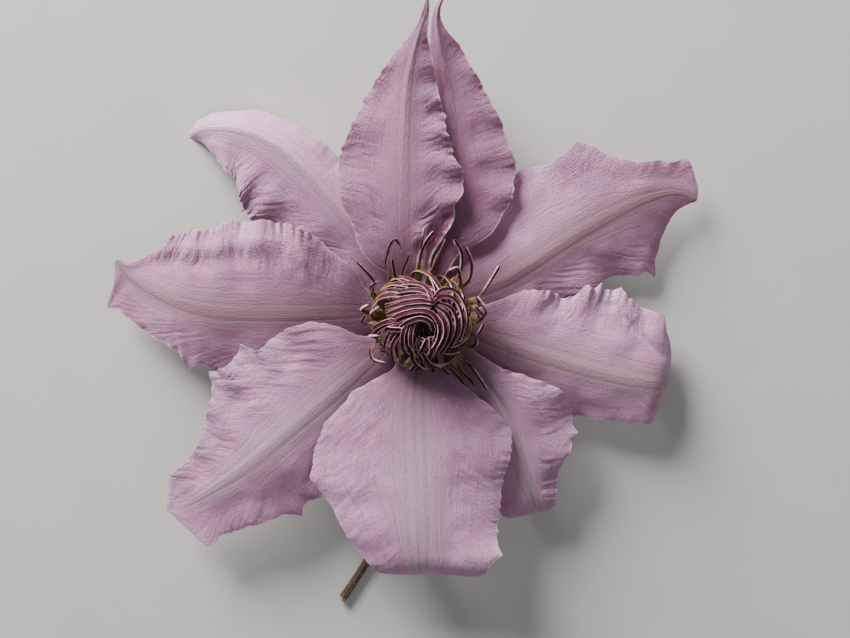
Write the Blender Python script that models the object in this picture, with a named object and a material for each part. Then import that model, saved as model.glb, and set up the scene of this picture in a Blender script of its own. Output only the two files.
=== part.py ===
"""A clematis flower, picked with a short stalk and laid face up on a table.

It rests on the recurved tips of its tepals and on the flat underside of its stalk. Nine separate
tepals, coloured like petals, sit round the receptacle in overlapping layers. Above them stand a
boss of stamens, a tuft of styles and one small petal-like stamen. The receptacle and the stalk
grew as one piece.

The tables are in millimetres and degrees, the meshes in metres. +Z is up, the flower's axis is the
Z axis until the last step, and an angle of 0 points along +X and grows towards +Y.
"""

import math
import random
from dataclasses import dataclass

import bmesh
import bpy
import numpy as np

MM = 0.001

# Receptacle and stalk.
RECEPTACLE_RADIUS = 3.8
RECEPTACLE_TOP = 15.4
STALK_FLAT = 1.2  # from the stalk's middle to each of its flat sides
STALK_SIDES = 8
SEAT_GAP = 0.3  # between pieces that grow from one another

# Tepals.
BLADE_THICKNESS = 0.7
CLAW_HEIGHT = 11.0  # middle of the hindmost claws
LAYER_STEP = 1.2  # from one layer of claws to the next
BLADE_GRID = (25, 4)  # rows along a tepal, columns across each half
PETALOID_GRID = (13, 2)
FINE = 4  # steps of integration in each row or column

LEFT, RIGHT = 1, -1


@dataclass(frozen=True)
class Tepal:
    """One tepal, seen from above with its tip pointing away: u runs from 0 at the claw to 1."""

    name: str
    azimuth: float  # of its claw, round the receptacle
    layer: float  # 0 for the hindmost
    length: float  # along the midrib
    heading: tuple  # (u, direction of the midrib)
    pitch: tuple  # (u, climb of the midrib)
    left: tuple  # (u, width of the left half, along its surface)
    right: tuple
    left_roll: tuple  # (u, slope of the left half at the midrib, halfway and at the margin)
    right_roll: tuple
    teeth: tuple = ()  # (side, u, height, half length)
    ruffles: tuple = ()  # (side, height, waves along the margin, phase in waves)


TEPALS = (
    Tepal(
        "tepal_top_left",
        azimuth=106,
        layer=2,
        length=82,
        heading=((0, 103), (0.16, 98), (0.3, 91), (0.5, 89), (0.65, 86), (0.8, 77), (0.92, 72), (1, 92)),
        pitch=((0, 24), (0.12, 14), (0.3, 2), (0.6, 0), (0.8, 3), (1, 6)),
        left=((0, 1.5), (0.06, 2.6), (0.12, 6.5), (0.18, 11), (0.25, 13.5), (0.35, 16.5), (0.43, 17.5),
              (0.5, 16.5), (0.58, 14), (0.66, 11), (0.75, 7), (0.84, 3.4), (0.92, 1.1), (1, 0.4)),
        right=((0, 1.4), (0.1, 2.0), (0.2, 4.2), (0.25, 5.2), (0.29, 9.4), (0.33, 13.5), (0.38, 16),
               (0.43, 15.8), (0.5, 13.4), (0.6, 10.8), (0.73, 8), (0.81, 5.4), (0.9, 2), (1, 0.4)),
        left_roll=((0, 0, 0, 0), (0.3, -4, -6, -10), (0.6, -14, -10, 0), (1, -30, -30, -20)),
        right_roll=((0, 0, 0, 0), (0.3, -2, -6, -8), (0.6, -12, -10, 0), (1, -30, -30, -20)),
        ruffles=((RIGHT, 0.8, 9, 0.1), (LEFT, 0.6, 5, 0.4)),
    ),
    Tepal(
        "tepal_top_right",
        azimuth=66,
        layer=1,
        length=82,
        heading=((0, 66), (0.15, 72), (0.3, 88), (0.6, 92), (0.72, 100), (0.88, 100), (0.95, 80), (1, 50)),
        pitch=((0, 2), (0.3, 2), (0.5, 2), (0.7, 3), (0.85, 4), (1, 4)),
        left=((0, 1.4), (0.1, 4), (0.2, 9), (0.35, 12), (0.45, 12), (0.6, 10), (0.75, 6.5), (0.88, 2.5),
              (1, 0.4)),
        right=((0, 1.4), (0.1, 2.4), (0.18, 4), (0.22, 8), (0.28, 13.5), (0.38, 17), (0.46, 17.3),
               (0.53, 15.5), (0.65, 11), (0.75, 7.4), (0.83, 5.2), (0.88, 2.8), (0.94, 1), (1, 0.4)),
        left_roll=((0, 0, 0, 0), (0.3, -6, -8, -10), (0.7, -10, -12, -12), (1, -30, -30, -20)),
        right_roll=((0, 0, 0, 0), (0.3, -2, -4, -4), (0.6, -7, -12, -6), (1, -30, -30, -20)),
        ruffles=((RIGHT, 0.7, 8, 0.3),),
    ),
    Tepal(
        "tepal_upper_right",
        azimuth=22,
        layer=0,
        length=79.5,
        heading=((0, 18), (0.15, 20), (0.3, 32), (0.45, 34), (0.7, 26), (0.85, 14), (1, -40)),
        pitch=((0, 2), (0.3, 0), (0.5, -1), (0.7, -5), (0.85, -10), (1, -14)),
        left=((0, 1.5), (0.05, 5.5), (0.1, 9.5), (0.15, 12.5), (0.26, 17), (0.4, 21.3), (0.5, 22.5),
              (0.58, 20.5), (0.64, 20.2), (0.68, 21.5), (0.71, 19.5), (0.745, 14.8), (0.79, 11.5),
              (0.84, 9.8), (0.89, 8.8), (0.94, 7), (0.97, 4.2), (1, 0.4)),
        right=((0, 1.5), (0.1, 5.5), (0.22, 11), (0.36, 15), (0.5, 16.3), (0.6, 18), (0.68, 20.3),
               (0.765, 19.5), (0.86, 13), (0.92, 9), (0.97, 4), (1, 0.4)),
        left_roll=((0, 0, -6, -10), (0.3, -8, -14, -14), (0.6, 0, -4, -6), (0.8, 2, 4, 6),
                   (1, -10, 0, 0)),
        right_roll=((0, 0, -4, -8), (0.3, -12, -14, -14), (0.7, -12, -18, -20), (1, -10, -20, -20)),
        teeth=((RIGHT, 0.752, 4, 0.035), (LEFT, 0.93, 2.5, 0.03)),
        ruffles=((LEFT, 1.0, 5, 0.0), (RIGHT, 0.8, 4, 0.4)),
    ),
    Tepal(
        "tepal_right",
        azimuth=-19,
        layer=1,
        length=86,
        heading=((0, -20), (0.2, -20), (0.4, -17), (0.6, -14), (0.75, -11), (1, -14)),
        pitch=((0, 5), (0.2, 2), (0.4, 0), (0.63, -3), (0.72, -11), (0.785, -52), (0.83, -92),
               (0.878, -126), (0.914, -160), (0.95, -178), (1, -182)),
        left=((0, 1.5), (0.08, 4.5), (0.16, 9.5), (0.22, 14), (0.3, 17.5), (0.37, 17), (0.43, 20.5),
              (0.5, 22), (0.56, 21.8), (0.65, 20), (0.73, 18.8), (0.8, 15.5), (0.87, 10.5), (0.94, 5),
              (1, 0.5)),
        right=((0, 1.5), (0.08, 3.5), (0.2, 10), (0.35, 15), (0.5, 17), (0.6, 15.5), (0.7, 13.6),
               (0.8, 12.4), (0.88, 8.5), (0.95, 4), (1, 0.5)),
        left_roll=((0, 0, 0, 0), (0.3, -2, -4, -4), (0.6, -4, -8, -22), (0.8, -4, -12, -30),
                   (1, 0, -10, -20)),
        right_roll=((0, 0, -6, -12), (0.3, -12, -24, -28), (0.6, -9, -22, -26), (0.8, -4, -10, -12),
                    (1, 0, -8, -12)),
        teeth=((LEFT, 0.43, 2, 0.02), (LEFT, 0.48, 2, 0.02), (LEFT, 0.55, 2, 0.03)),
        ruffles=((LEFT, 0.9, 7, 0.2), (RIGHT, 0.6, 5, 0.1)),
    ),
    Tepal(
        "tepal_lower_right",
        azimuth=-46,
        layer=2,
        length=81,
        heading=((0, -46), (0.18, -50), (0.35, -61), (0.5, -70), (0.7, -72), (1, -70)),
        pitch=((0, 8), (0.2, 4), (0.45, -4), (0.68, -12), (0.785, -36), (0.845, -90),
               (0.9, -134), (0.946, -174), (1, -182)),
        left=((0, 1.5), (0.1, 3), (0.2, 5), (0.27, 7.5), (0.34, 13), (0.4, 17.8), (0.46, 18.8), (0.54, 17),
              (0.62, 12.8), (0.7, 8.6), (0.78, 6), (0.88, 4.5), (0.95, 2.8), (1, 0.4)),
        right=((0, 1.5), (0.1, 5), (0.2, 9), (0.35, 12), (0.5, 12.5), (0.65, 12), (0.75, 10.5),
               (0.85, 7.5), (0.93, 4), (1, 0.4)),
        left_roll=((0, 0, 0, 0), (0.3, 8, 0, -6), (0.5, 14, -12, -16), (0.7, 10, -10, -10),
                   (1, 0, -10, -10)),
        right_roll=((0, 0, -4, -8), (0.3, -8, -14, -14), (0.6, -6, -12, -10), (1, 0, -10, -10)),
        teeth=((LEFT, 0.55, 1.8, 0.03),),
        ruffles=((LEFT, 0.9, 5, 0.3), (RIGHT, 0.4, 4, 0.0)),
    ),
    Tepal(
        "tepal_bottom",
        azimuth=-92,
        layer=3,
        length=89.6,
        heading=((0, -94), (0.15, -94), (0.35, -88), (0.6, -88), (0.8, -84), (1, -82)),
        pitch=((0, 18), (0.12, 14), (0.3, 5), (0.55, -2), (0.7, -10), (0.78, -38), (0.84, -76),
               (0.93, -106), (1, -150)),
        left=((0, 1.8), (0.08, 5), (0.13, 10), (0.18, 15.5), (0.26, 23.5), (0.34, 26.5), (0.4, 26),
              (0.47, 24.5), (0.57, 23), (0.67, 22), (0.75, 20), (0.82, 15), (0.9, 8.5), (0.96, 4),
              (1, 0.5)),
        right=((0, 1.8), (0.08, 4.5), (0.13, 7), (0.17, 12.5), (0.21, 17.5), (0.29, 24), (0.36, 27.5),
               (0.45, 29.3), (0.5, 27.6), (0.56, 24), (0.64, 20.6), (0.7, 17.6), (0.76, 14.4), (0.84, 10),
               (0.92, 6), (1, 0.5)),
        left_roll=((0, 0, 0, 0), (0.3, -1, -5, -12), (0.6, -3, -10, -20), (0.8, 4, 8, 4), (1, 0, 0, 0)),
        right_roll=((0, 0, 0, 0), (0.3, 0, -5, -12), (0.6, -2, -9, -20), (0.8, -2, -8, -14),
                    (1, 0, -4, -6)),
        teeth=((LEFT, 0.73, 2.2, 0.03), (LEFT, 0.83, 2.5, 0.03), (RIGHT, 0.2, 1.2, 0.02),
               (RIGHT, 0.29, 1.2, 0.02)),
        ruffles=((LEFT, 0.6, 5, 0.2), (RIGHT, 0.4, 6, 0.5)),
    ),
    Tepal(
        "tepal_lower_left",
        azimuth=-136,
        layer=2,
        length=89,
        heading=((0, -136), (0.2, -139), (0.4, -140), (0.6, -138), (0.75, -143), (0.9, -146), (1, -170)),
        pitch=((0, 14), (0.2, 7), (0.4, 1), (0.6, -6), (0.75, -11), (0.9, -15), (1, -10)),
        left=((0, 1.6), (0.1, 5), (0.2, 12), (0.35, 18), (0.5, 21.5), (0.6, 22), (0.67, 20.5),
              (0.72, 18.5), (0.8, 16), (0.88, 14), (0.93, 10.5), (0.96, 5), (1, 0.4)),
        right=((0, 1.6), (0.1, 4.5), (0.14, 8), (0.17, 13.5), (0.23, 19), (0.3, 22), (0.39, 22),
               (0.45, 24.5), (0.55, 24.5), (0.6, 21.5), (0.65, 18.5), (0.7, 16), (0.77, 12.3), (0.87, 9.5),
               (0.92, 9.2), (0.96, 6.5), (1, 0.4)),
        left_roll=((0, 0, -8, -14), (0.3, -12, -22, -24), (0.6, -8, -16, -22), (0.85, -4, -8, -8),
                   (1, 0, 0, 0)),
        right_roll=((0, 0, 0, 0), (0.3, 0, -3, -2), (0.6, -4, -8, -6), (0.85, -6, -8, 0), (1, 0, 0, 0)),
        teeth=((LEFT, 0.68, 3.2, 0.025), (LEFT, 0.94, 6, 0.04), (RIGHT, 0.435, 2.2, 0.025),
               (RIGHT, 0.565, 2.2, 0.025)),
        ruffles=((RIGHT, 1.0, 8, 0.1), (LEFT, 0.7, 5, 0.4)),
    ),
    Tepal(
        "tepal_left",
        azimuth=177,
        layer=1,
        length=83,
        heading=((0, 178), (0.25, 181), (0.5, 180), (0.65, 172), (0.78, 160), (0.9, 145), (1, 118)),
        pitch=((0, 4), (0.2, 2), (0.45, -2), (0.65, -7), (0.8, -10), (0.92, -6), (1, 0)),
        left=((0, 1.6), (0.1, 6.5), (0.2, 12), (0.35, 18), (0.5, 20), (0.6, 19.5), (0.69, 16), (0.76, 13),
              (0.82, 12), (0.86, 11), (0.92, 9.5), (0.955, 4), (1, 0.4)),
        right=((0, 1.6), (0.1, 4), (0.14, 8.5), (0.17, 12.5), (0.22, 16), (0.27, 20), (0.32, 23),
               (0.38, 25), (0.46, 25.5), (0.55, 25.5), (0.62, 24), (0.7, 21.5), (0.8, 19), (0.86, 16.5),
               (0.91, 12.5), (0.945, 6), (0.975, 2.2), (1, 0.4)),
        left_roll=((0, 0, -6, -10), (0.3, -12, -22, -22), (0.6, -14, -18, -18), (0.85, -12, -8, 0),
                   (1, -20, -10, 0)),
        right_roll=((0, 0, 0, 0), (0.3, 8, 6, -4), (0.6, 8, 0, -24), (0.85, -4, -2, 0),
                    (1, -20, -10, 0)),
        teeth=((LEFT, 0.69, 3.5, 0.025), (LEFT, 0.925, 2.5, 0.025), (RIGHT, 0.8, 1.2, 0.02),
               (RIGHT, 0.88, 1.5, 0.02)),
        ruffles=((RIGHT, 1.0, 7, 0.0), (LEFT, 0.6, 4, 0.4)),
    ),
    Tepal(
        "tepal_upper_left",
        azimuth=130,
        layer=0,
        length=86,
        heading=((0, 120), (0.14, 126), (0.3, 131), (0.45, 129), (0.58, 138), (0.7, 157), (0.82, 180),
                 (0.92, 200), (1, 230)),
        pitch=((0, 2), (0.3, 3), (0.5, 2), (0.65, -5), (0.78, -16), (0.88, -38), (1, -52)),
        left=((0, 1.5), (0.05, 5), (0.1, 9), (0.15, 11.8), (0.22, 14), (0.35, 19), (0.5, 22), (0.6, 21),
              (0.67, 19), (0.74, 16), (0.8, 13.2), (0.86, 10.4), (0.91, 8), (0.95, 5), (1, 0.4)),
        right=((0, 1.5), (0.1, 5), (0.2, 9), (0.35, 13), (0.5, 15), (0.6, 14.5), (0.7, 12.5), (0.8, 9.5),
               (0.88, 6.5), (0.95, 3.5), (1, 0.4)),
        left_roll=((0, 0, -8, -16), (0.3, -12, -24, -26), (0.55, -12, -18, -16), (0.8, -8, -10, -6),
                   (1, 0, 0, 0)),
        right_roll=((0, 0, -8, -16), (0.3, -20, -38, -46), (0.5, -24, -64, -80), (0.8, -20, -64, -90),
                    (1, -10, -40, -60)),
        teeth=((LEFT, 0.6, 1.2, 0.02), (LEFT, 0.68, 1.2, 0.02)),
        ruffles=((LEFT, 0.9, 6, 0.1),),
    ),
)

PETALOID = Tepal(
    "petaloid_stamen",
    azimuth=68,
    layer=3.1,
    length=29,
    heading=((0, 92), (0.4, 84), (0.7, 68), (1, 44)),
    pitch=((0, -4), (0.4, 0), (0.8, 6), (1, 12)),
    left=((0, 0.7), (0.4, 1.0), (0.6, 2), (0.8, 2.6), (0.93, 2), (1, 0.6)),
    right=((0, 0.8), (0.4, 1.2), (0.6, 3), (0.8, 4), (0.93, 2.8), (1, 0.6)),
    left_roll=((0, 0, 0, 0), (1, 6, 14, 20)),
    right_roll=((0, 0, 0, 0), (1, -4, 6, 14)),
    ruffles=((RIGHT, 0.5, 3, 0.0),),
)

# Stamens. Each ring: count, root (radius, height), then how its stamens lean out and curl in.
STAMEN_WIDTH = 1.2
STAMEN_THICKNESS = 0.8
STAMEN_STEPS = 6
FACING_UP = 2.0  # how much a stamen near the axis faces up
STAMEN_RINGS = (
    # count, swirl, (radius, height) from the root to the tip
    (8, 55, ((2.9, 16.6), (4.4, 20.5), (5.6, 25), (5.4, 29), (3.9, 31.6))),
    (12, 45, ((3.2, 16.6), (6.2, 20), (8.2, 24.2), (8.0, 28), (6.0, 30.6))),
    (14, 32, ((3.5, 16.5), (7.8, 19), (10.4, 22.6), (10.6, 26), (9.0, 28.6))),
    (11, 18, ((3.8, 16.4), (8.6, 18.2), (12.4, 20.4), (14.4, 22.8), (14.6, 25.6))),
    (6, -20, ((3.9, 16.4), (9.0, 17.8), (13.4, 19.6), (17.2, 20.8), (20.0, 20.6))),
)
STAMEN_CORE = ((4.3, 15.7), (5.6, 17.2), (5.6, 19.4), (4.4, 20.6))
STYLE_WELL = 2.2  # radius of the hole in the core, where the styles stand
STAMEN_LEAN = (0.19, 0.1)  # of the whole boss, for each millimetre above its roots
STAMEN_FOOT = 16.5
BOSS_SEED = 7

# Styles.
STYLE_COUNT = 8
STYLE_WIDTH = 0.8
STYLE_CORE = (1.75, 15.7, 24.0)  # radius, foot and top
STYLE_LEAN = (0.1, 0.0)
STYLE_SEED = 3

# Middle line of the stalk, from under the receptacle to the cut end.
STALK_ROUTE = (
    (0.0, 0.0, 8.0),
    (0.0, -1.6, 3.9),
    (-0.3, -5.6, STALK_FLAT),
    (-1.2, -20.0, STALK_FLAT),
    (-3.8, -40.0, STALK_FLAT),
    (-7.8, -57.0, STALK_FLAT),
    (-12.8, -71.5, STALK_FLAT),
    (-22.8, -88.0, STALK_FLAT),
)
STALK_STEPS = 34
RECEPTACLE_PROFILE = ((1.3, 8.0), (2.4, 9.0), (RECEPTACLE_RADIUS, 10.2), (RECEPTACLE_RADIUS, RECEPTACLE_TOP))


def smooth(stations, at):
    """Value at each place on a smooth curve through (place, value) stations, with no overshoot."""
    places, values = np.array(stations, dtype=float).T
    steps = np.diff(places)
    slopes = np.diff(values) / steps
    product = slopes[:-1] * slopes[1:]
    total = slopes[:-1] + slopes[1:]
    middle = np.where(product > 0, 2 * product / np.where(product > 0, total, 1), 0)
    tangents = np.concatenate([slopes[:1], middle, slopes[-1:]])
    at = np.asarray(at, dtype=float)
    span = np.clip(np.searchsorted(places, at, side="right") - 1, 0, len(steps) - 1)
    step = steps[span]
    t = (at - places[span]) / step
    return (
        values[span] * (1 + 2 * t) * (1 - t) ** 2
        + tangents[span] * step * t * (1 - t) ** 2
        + values[span + 1] * t**2 * (3 - 2 * t)
        + tangents[span + 1] * step * t**2 * (t - 1)
    )


def compass(degrees, radius=1.0):
    """The level point at this angle round the axis."""
    return np.array([radius * math.cos(math.radians(degrees)), radius * math.sin(math.radians(degrees)), 0.0])


def midrib(tepal, rows):
    """Points of the midrib at evenly spaced rows, with the directions along, across and up."""
    u = np.linspace(0, 1, (rows - 1) * FINE + 1)
    heading = np.radians(smooth(tepal.heading, u))
    pitch = np.radians(smooth(tepal.pitch, u))
    level = np.cos(pitch)
    along = np.stack([level * np.cos(heading), level * np.sin(heading), np.sin(pitch)], axis=1)
    across = np.stack([-np.sin(heading), np.cos(heading), np.zeros_like(heading)], axis=1)
    steps = (along[1:] + along[:-1]) / 2 * tepal.length / (len(u) - 1)
    root = compass(tepal.azimuth, RECEPTACLE_RADIUS + SEAT_GAP)
    root[2] = CLAW_HEIGHT + LAYER_STEP * tepal.layer
    points = root + np.concatenate([np.zeros((1, 3)), np.cumsum(steps, axis=0)])
    return u[::FINE], points[::FINE], along[::FINE], across[::FINE], np.cross(along, across)[::FINE]


def half_width(tepal, side, u):
    """Width of one half along its surface, with its teeth."""
    width = smooth(tepal.left if side == LEFT else tepal.right, u)
    for tooth_side, place, height, reach in tepal.teeth:
        if tooth_side == side:
            width = width + height * np.clip(1 - np.abs(u - place) / reach, 0, None) ** 1.3
    return width


def half_blade(tepal, side, columns, u, points, across, up):
    """Middle surface of one half: a row for each u, a column from the midrib to the margin."""
    roll = np.array(tepal.left_roll if side == LEFT else tepal.right_roll, dtype=float)
    near, middle, edge = (smooth(roll[:, [0, k]], u)[:, None] for k in (1, 2, 3))
    v = np.linspace(0, 1, (columns * FINE) + 1)[None, :]
    v = (v[:, 1:] + v[:, :-1]) / 2
    slope = np.radians(near * (1 - v) * (1 - 2 * v) + middle * 4 * v * (1 - v) + edge * v * (2 * v - 1))
    step = half_width(tepal, side, u)[:, None] / (columns * FINE)
    out = np.cumsum(np.cos(slope) * step, axis=1)[:, FINE - 1 :: FINE]
    rise = np.cumsum(np.sin(slope) * step, axis=1)[:, FINE - 1 :: FINE]
    surface = points[:, None] + side * out[..., None] * across[:, None] + rise[..., None] * up[:, None]
    return np.concatenate([points[:, None], surface], axis=1)


def normals(surface):
    """Unit normal at each point of a grid surface."""
    normal = np.cross(np.gradient(surface, axis=0), np.gradient(surface, axis=1))
    return normal / np.linalg.norm(normal, axis=2, keepdims=True)


def ruffle(tepal, u, v):
    """How far the margins wave up and down."""
    lift = np.zeros((len(u), len(v)))
    for side, height, waves, phase in tepal.ruffles:
        fade = np.clip(side * v, 0, 1)[None, :] ** 2 * np.sin(np.pi * np.clip(u, 0, 1))[:, None] ** 0.7
        lift += height * fade * np.sin(2 * np.pi * (waves * u + phase))[:, None]
    return lift


def blade(tepal, rows, columns):
    """Middle surface and unit normals of a tepal, from its right margin to its left one."""
    u, points, _, across, up = midrib(tepal, rows)
    left = half_blade(tepal, LEFT, columns, u, points, across, up)
    right = half_blade(tepal, RIGHT, columns, u, points, across, up)
    surface = np.concatenate([right[:, :0:-1], left], axis=1)
    surface = surface + normals(surface) * ruffle(tepal, u, np.linspace(-1, 1, 2 * columns + 1))[..., None]
    surface[..., 2] = np.maximum(surface[..., 2], 0)
    lying_flat = np.abs(normals(surface)[..., 2])
    surface[..., 2] = np.maximum(surface[..., 2], BLADE_THICKNESS / 2 * lying_flat)
    return surface, normals(surface)


def plain_material(name, colour, roughness):
    material = bpy.data.materials.new(name)
    material.use_nodes = True
    shader = material.node_tree.nodes["Principled BSDF"]
    shader.inputs["Base Color"].default_value = (*colour, 1)
    shader.inputs["Roughness"].default_value = roughness
    shader.inputs["Metallic"].default_value = 0
    material.diffuse_color = (*colour, 1)
    return material


def mesh_object(name, points, faces, material=None):
    """An object from points in millimetres."""
    mesh = bpy.data.meshes.new(name)
    mesh.from_pydata([tuple(point) for point in np.asarray(points) * MM], [], faces)
    mesh.validate()
    obj = bpy.data.objects.new(name, mesh)
    if material:
        mesh.materials.append(material)
    bpy.context.scene.collection.objects.link(obj)
    return obj


def slab(upper, lower):
    """Points and faces of the closed body between two grids, split alike on both."""
    rows, columns, _ = upper.shape
    points = np.concatenate([upper.reshape(-1, 3), lower.reshape(-1, 3)])
    under = rows * columns
    faces = []
    for i in range(rows - 1):
        for j in range(columns - 1):
            a, b = i * columns + j, (i + 1) * columns + j
            c, d = b + 1, a + 1
            faces += [(a, b, c), (a, c, d)]
            faces += [(under + c, under + b, under + a), (under + d, under + c, under + a)]
    rim = [(i, 0) for i in range(rows)] + [(rows - 1, j) for j in range(1, columns)]
    rim += [(i, columns - 1) for i in range(rows - 2, -1, -1)] + [(0, j) for j in range(columns - 2, 0, -1)]
    rim = [i * columns + j for i, j in rim]
    for a, b in zip(rim, rim[1:] + rim[:1]):
        faces += [(b, a, under + a), (b, under + a, under + b)]
    return points, faces


def make_tepal(tepal, grid, material):
    surface, normal = blade(tepal, *grid)
    upper = surface + normal * BLADE_THICKNESS / 2
    lower = surface - normal * BLADE_THICKNESS / 2
    for face in (upper, lower):
        face[..., 2] = np.maximum(face[..., 2], 0)
    mesh_object(tepal.name, *slab(upper, lower), material)


def tube(centres, across, up, sides):
    """Points and faces of a closed tube. Its sections are spanned by across and up, with their half sizes."""
    count = len(centres)
    angles = 2 * np.pi * (np.arange(sides) + 0.5) / sides
    corner = 1 / math.cos(math.pi / sides)
    ring = np.cos(angles)[None, :, None] * across[:, None] + np.sin(angles)[None, :, None] * up[:, None]
    points = (centres[:, None] + corner * ring).reshape(-1, 3)
    faces = [tuple(range(sides))[::-1], tuple(range((count - 1) * sides, count * sides))]
    for i in range(count - 1):
        for k in range(sides):
            a, b = i * sides + k, i * sides + (k + 1) % sides
            faces.append((a, b, b + sides, a + sides))
    return points, faces


def turned(profile, sides, inner=0.0):
    """Points and faces of a body turned round the Z axis, solid or with a plain hole through it."""
    rings = [(radius, height) for radius, height in profile]
    if inner:
        rings = rings + [(inner, rings[-1][1]), (inner, rings[0][1])]
    turns = [360 * k / sides for k in range(sides)]
    points = [compass(turn, radius) + (0, 0, height) for radius, height in rings for turn in turns]
    spans = len(rings) if inner else len(rings) - 1
    faces = []
    for i in range(spans):
        for k in range(sides):
            a, b = i * sides + k, i * sides + (k + 1) % sides
            c, d = (i + 1) % len(rings) * sides + (k + 1) % sides, (i + 1) % len(rings) * sides + k
            faces.append((a, b, c, d))
    if not inner:
        faces += [tuple(range(sides))[::-1], tuple(range((len(rings) - 1) * sides, len(rings) * sides))]
    return points, faces


def smooth_route(points, steps):
    """A smooth line through points, by their distance along the route."""
    points = np.array(points, dtype=float)
    reach = np.concatenate([[0], np.cumsum(np.linalg.norm(np.diff(points, axis=0), axis=1))])
    at = np.linspace(0, reach[-1], steps + 1)
    return np.stack([smooth(np.stack([reach, points[:, k]], axis=1), at) for k in range(3)], axis=1)


def strip(line, width, thickness, sides=4):
    """A bent strip along a line, its broad side facing away from the Z axis."""
    along = np.gradient(line, axis=0)
    along /= np.linalg.norm(along, axis=1, keepdims=True)
    outward = line * (1, 1, 0) + (0, 0, FACING_UP)
    across = np.cross(along, outward)
    across /= np.linalg.norm(across, axis=1, keepdims=True)
    return tube(line, across * width / 2, np.cross(along, across) * thickness / 2, sides)


def keep_largest_shell(mesh):
    """Drops the loose scraps and the sealed hollows that a union of many crossing strips leaves."""
    work = bmesh.new()
    work.from_mesh(mesh)
    shells = []
    left = set(work.verts)
    while left:
        shell = {left.pop()}
        edge = set(shell)
        while edge:
            edge = {other.other_vert(vert) for vert in edge for other in vert.link_edges} & left
            left -= edge
            shell |= edge
        shells.append(shell)
    largest = max(shells, key=len)
    bmesh.ops.delete(work, geom=[vert for vert in work.verts if vert not in largest], context="VERTS")
    work.to_mesh(mesh)
    work.free()


def fused(name, core, strips, material):
    """One body from a core and the strips that stand out of it."""
    body = mesh_object(name, *core, material)
    repeats = bpy.data.collections.new(name + "_repeats")
    for number, points_and_faces in enumerate(strips):
        obj = mesh_object(f"{name}_{number}", *points_and_faces)
        bpy.context.scene.collection.objects.unlink(obj)
        repeats.objects.link(obj)
    union = body.modifiers.new("union", "BOOLEAN")
    union.operation = "UNION"
    union.operand_type = "COLLECTION"
    union.collection = repeats
    union.solver = "MANIFOLD"  # EXACT leaves edges shared by four faces where strips cross
    bpy.context.view_layer.update()
    joined = bpy.data.meshes.new_from_object(body.evaluated_get(bpy.context.evaluated_depsgraph_get()))
    body.modifiers.clear()
    body.data = joined
    for obj in list(repeats.objects):
        bpy.data.objects.remove(obj)
    bpy.data.collections.remove(repeats)
    keep_largest_shell(body.data)
    return body


def stamen_lines(rings, rng):
    """Middle line of each stamen, ring by ring from the styles outwards."""
    for count, swirl, profile in rings:
        for k in range(count):
            turn = 360 * (k + 0.3 * rng.uniform(-1, 1)) / count
            twist = swirl * rng.uniform(0.7, 1.3)
            reach = rng.uniform(0.94, 1.06)
            points = []
            for step, (radius, height) in enumerate(profile):
                share = step / (len(profile) - 1)
                out = radius * (1 + (reach - 1) * share)
                up = height + share * rng.uniform(-0.5, 0.5)
                point = compass(turn + twist * share**1.5, out) + (0, 0, up)
                point[:2] += np.array(STAMEN_LEAN) * max(point[2] - STAMEN_FOOT, 0)
                points.append(point)
            yield smooth_route(points, STAMEN_STEPS)


def make_stamens(material):
    rng = random.Random(BOSS_SEED)
    core = turned(STAMEN_CORE, 20, STYLE_WELL)
    strips = [strip(line, STAMEN_WIDTH, STAMEN_THICKNESS) for line in stamen_lines(STAMEN_RINGS, rng)]
    return fused("stamens", core, strips, material)


def make_styles(material):
    rng = random.Random(STYLE_SEED)
    radius, foot, top = STYLE_CORE
    core = turned(((radius, foot), (radius, top - 2), (radius * 0.55, top)), 12)
    strips = []
    for k in range(STYLE_COUNT):
        turn = 360 * k / STYLE_COUNT
        points = [
            compass(turn, 1.1) + (0, 0, top - 4),
            compass(turn + 12, 1.3) + (0, 0, top + 1),
            compass(turn + 36, rng.uniform(1.7, 2.3)) + (0, 0, top + rng.uniform(4.4, 6.0)),
        ]
        for point in points[1:]:
            point[:2] += np.array(STYLE_LEAN) * (point[2] - top)
        strips.append(strip(smooth_route(points, 4), STYLE_WIDTH, STYLE_WIDTH))
    return fused("styles", core, strips, material)


def make_stalk(material):
    """The receptacle, turned, with the stalk grown from under it and bent down to the table."""
    line = smooth_route(STALK_ROUTE, STALK_STEPS)
    along = np.gradient(line, axis=0)
    along /= np.linalg.norm(along, axis=1, keepdims=True)
    level = along * (1, 1, 0)
    level[:2] = (0, -1, 0)  # the first rows run straight down
    across = np.cross(level, (0, 0, 1))
    across /= np.linalg.norm(across, axis=1, keepdims=True)
    down = np.cross(along, across)
    stalk = tube(line, across * STALK_FLAT, down * STALK_FLAT, STALK_SIDES)
    return fused("stalk_with_receptacle", turned(RECEPTACLE_PROFILE, 24), [stalk], material)


def centre_over_origin(objects):
    """Moves the whole flower level, so that the middle of its box is over the origin."""
    corners = np.array([vertex.co for obj in objects for vertex in obj.data.vertices])
    middle = (corners.min(axis=0) + corners.max(axis=0)) / 2
    for obj in objects:
        obj.location = (-middle[0], -middle[1], 0)


def main():
    for obj in list(bpy.data.objects):
        bpy.data.objects.remove(obj)
    mauve = plain_material("tepal mauve", (0.5, 0.34, 0.48), 0.6)
    for tepal in TEPALS:
        make_tepal(tepal, BLADE_GRID, mauve)
    make_tepal(PETALOID, PETALOID_GRID, plain_material("petaloid magenta", (0.38, 0.13, 0.27), 0.6))
    make_stamens(plain_material("stamen maroon", (0.22, 0.07, 0.1), 0.6))
    make_styles(plain_material("style green", (0.3, 0.33, 0.14), 0.6))
    make_stalk(plain_material("stalk brown green", (0.09, 0.07, 0.05), 0.6))
    centre_over_origin(bpy.data.objects)


main()
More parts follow.
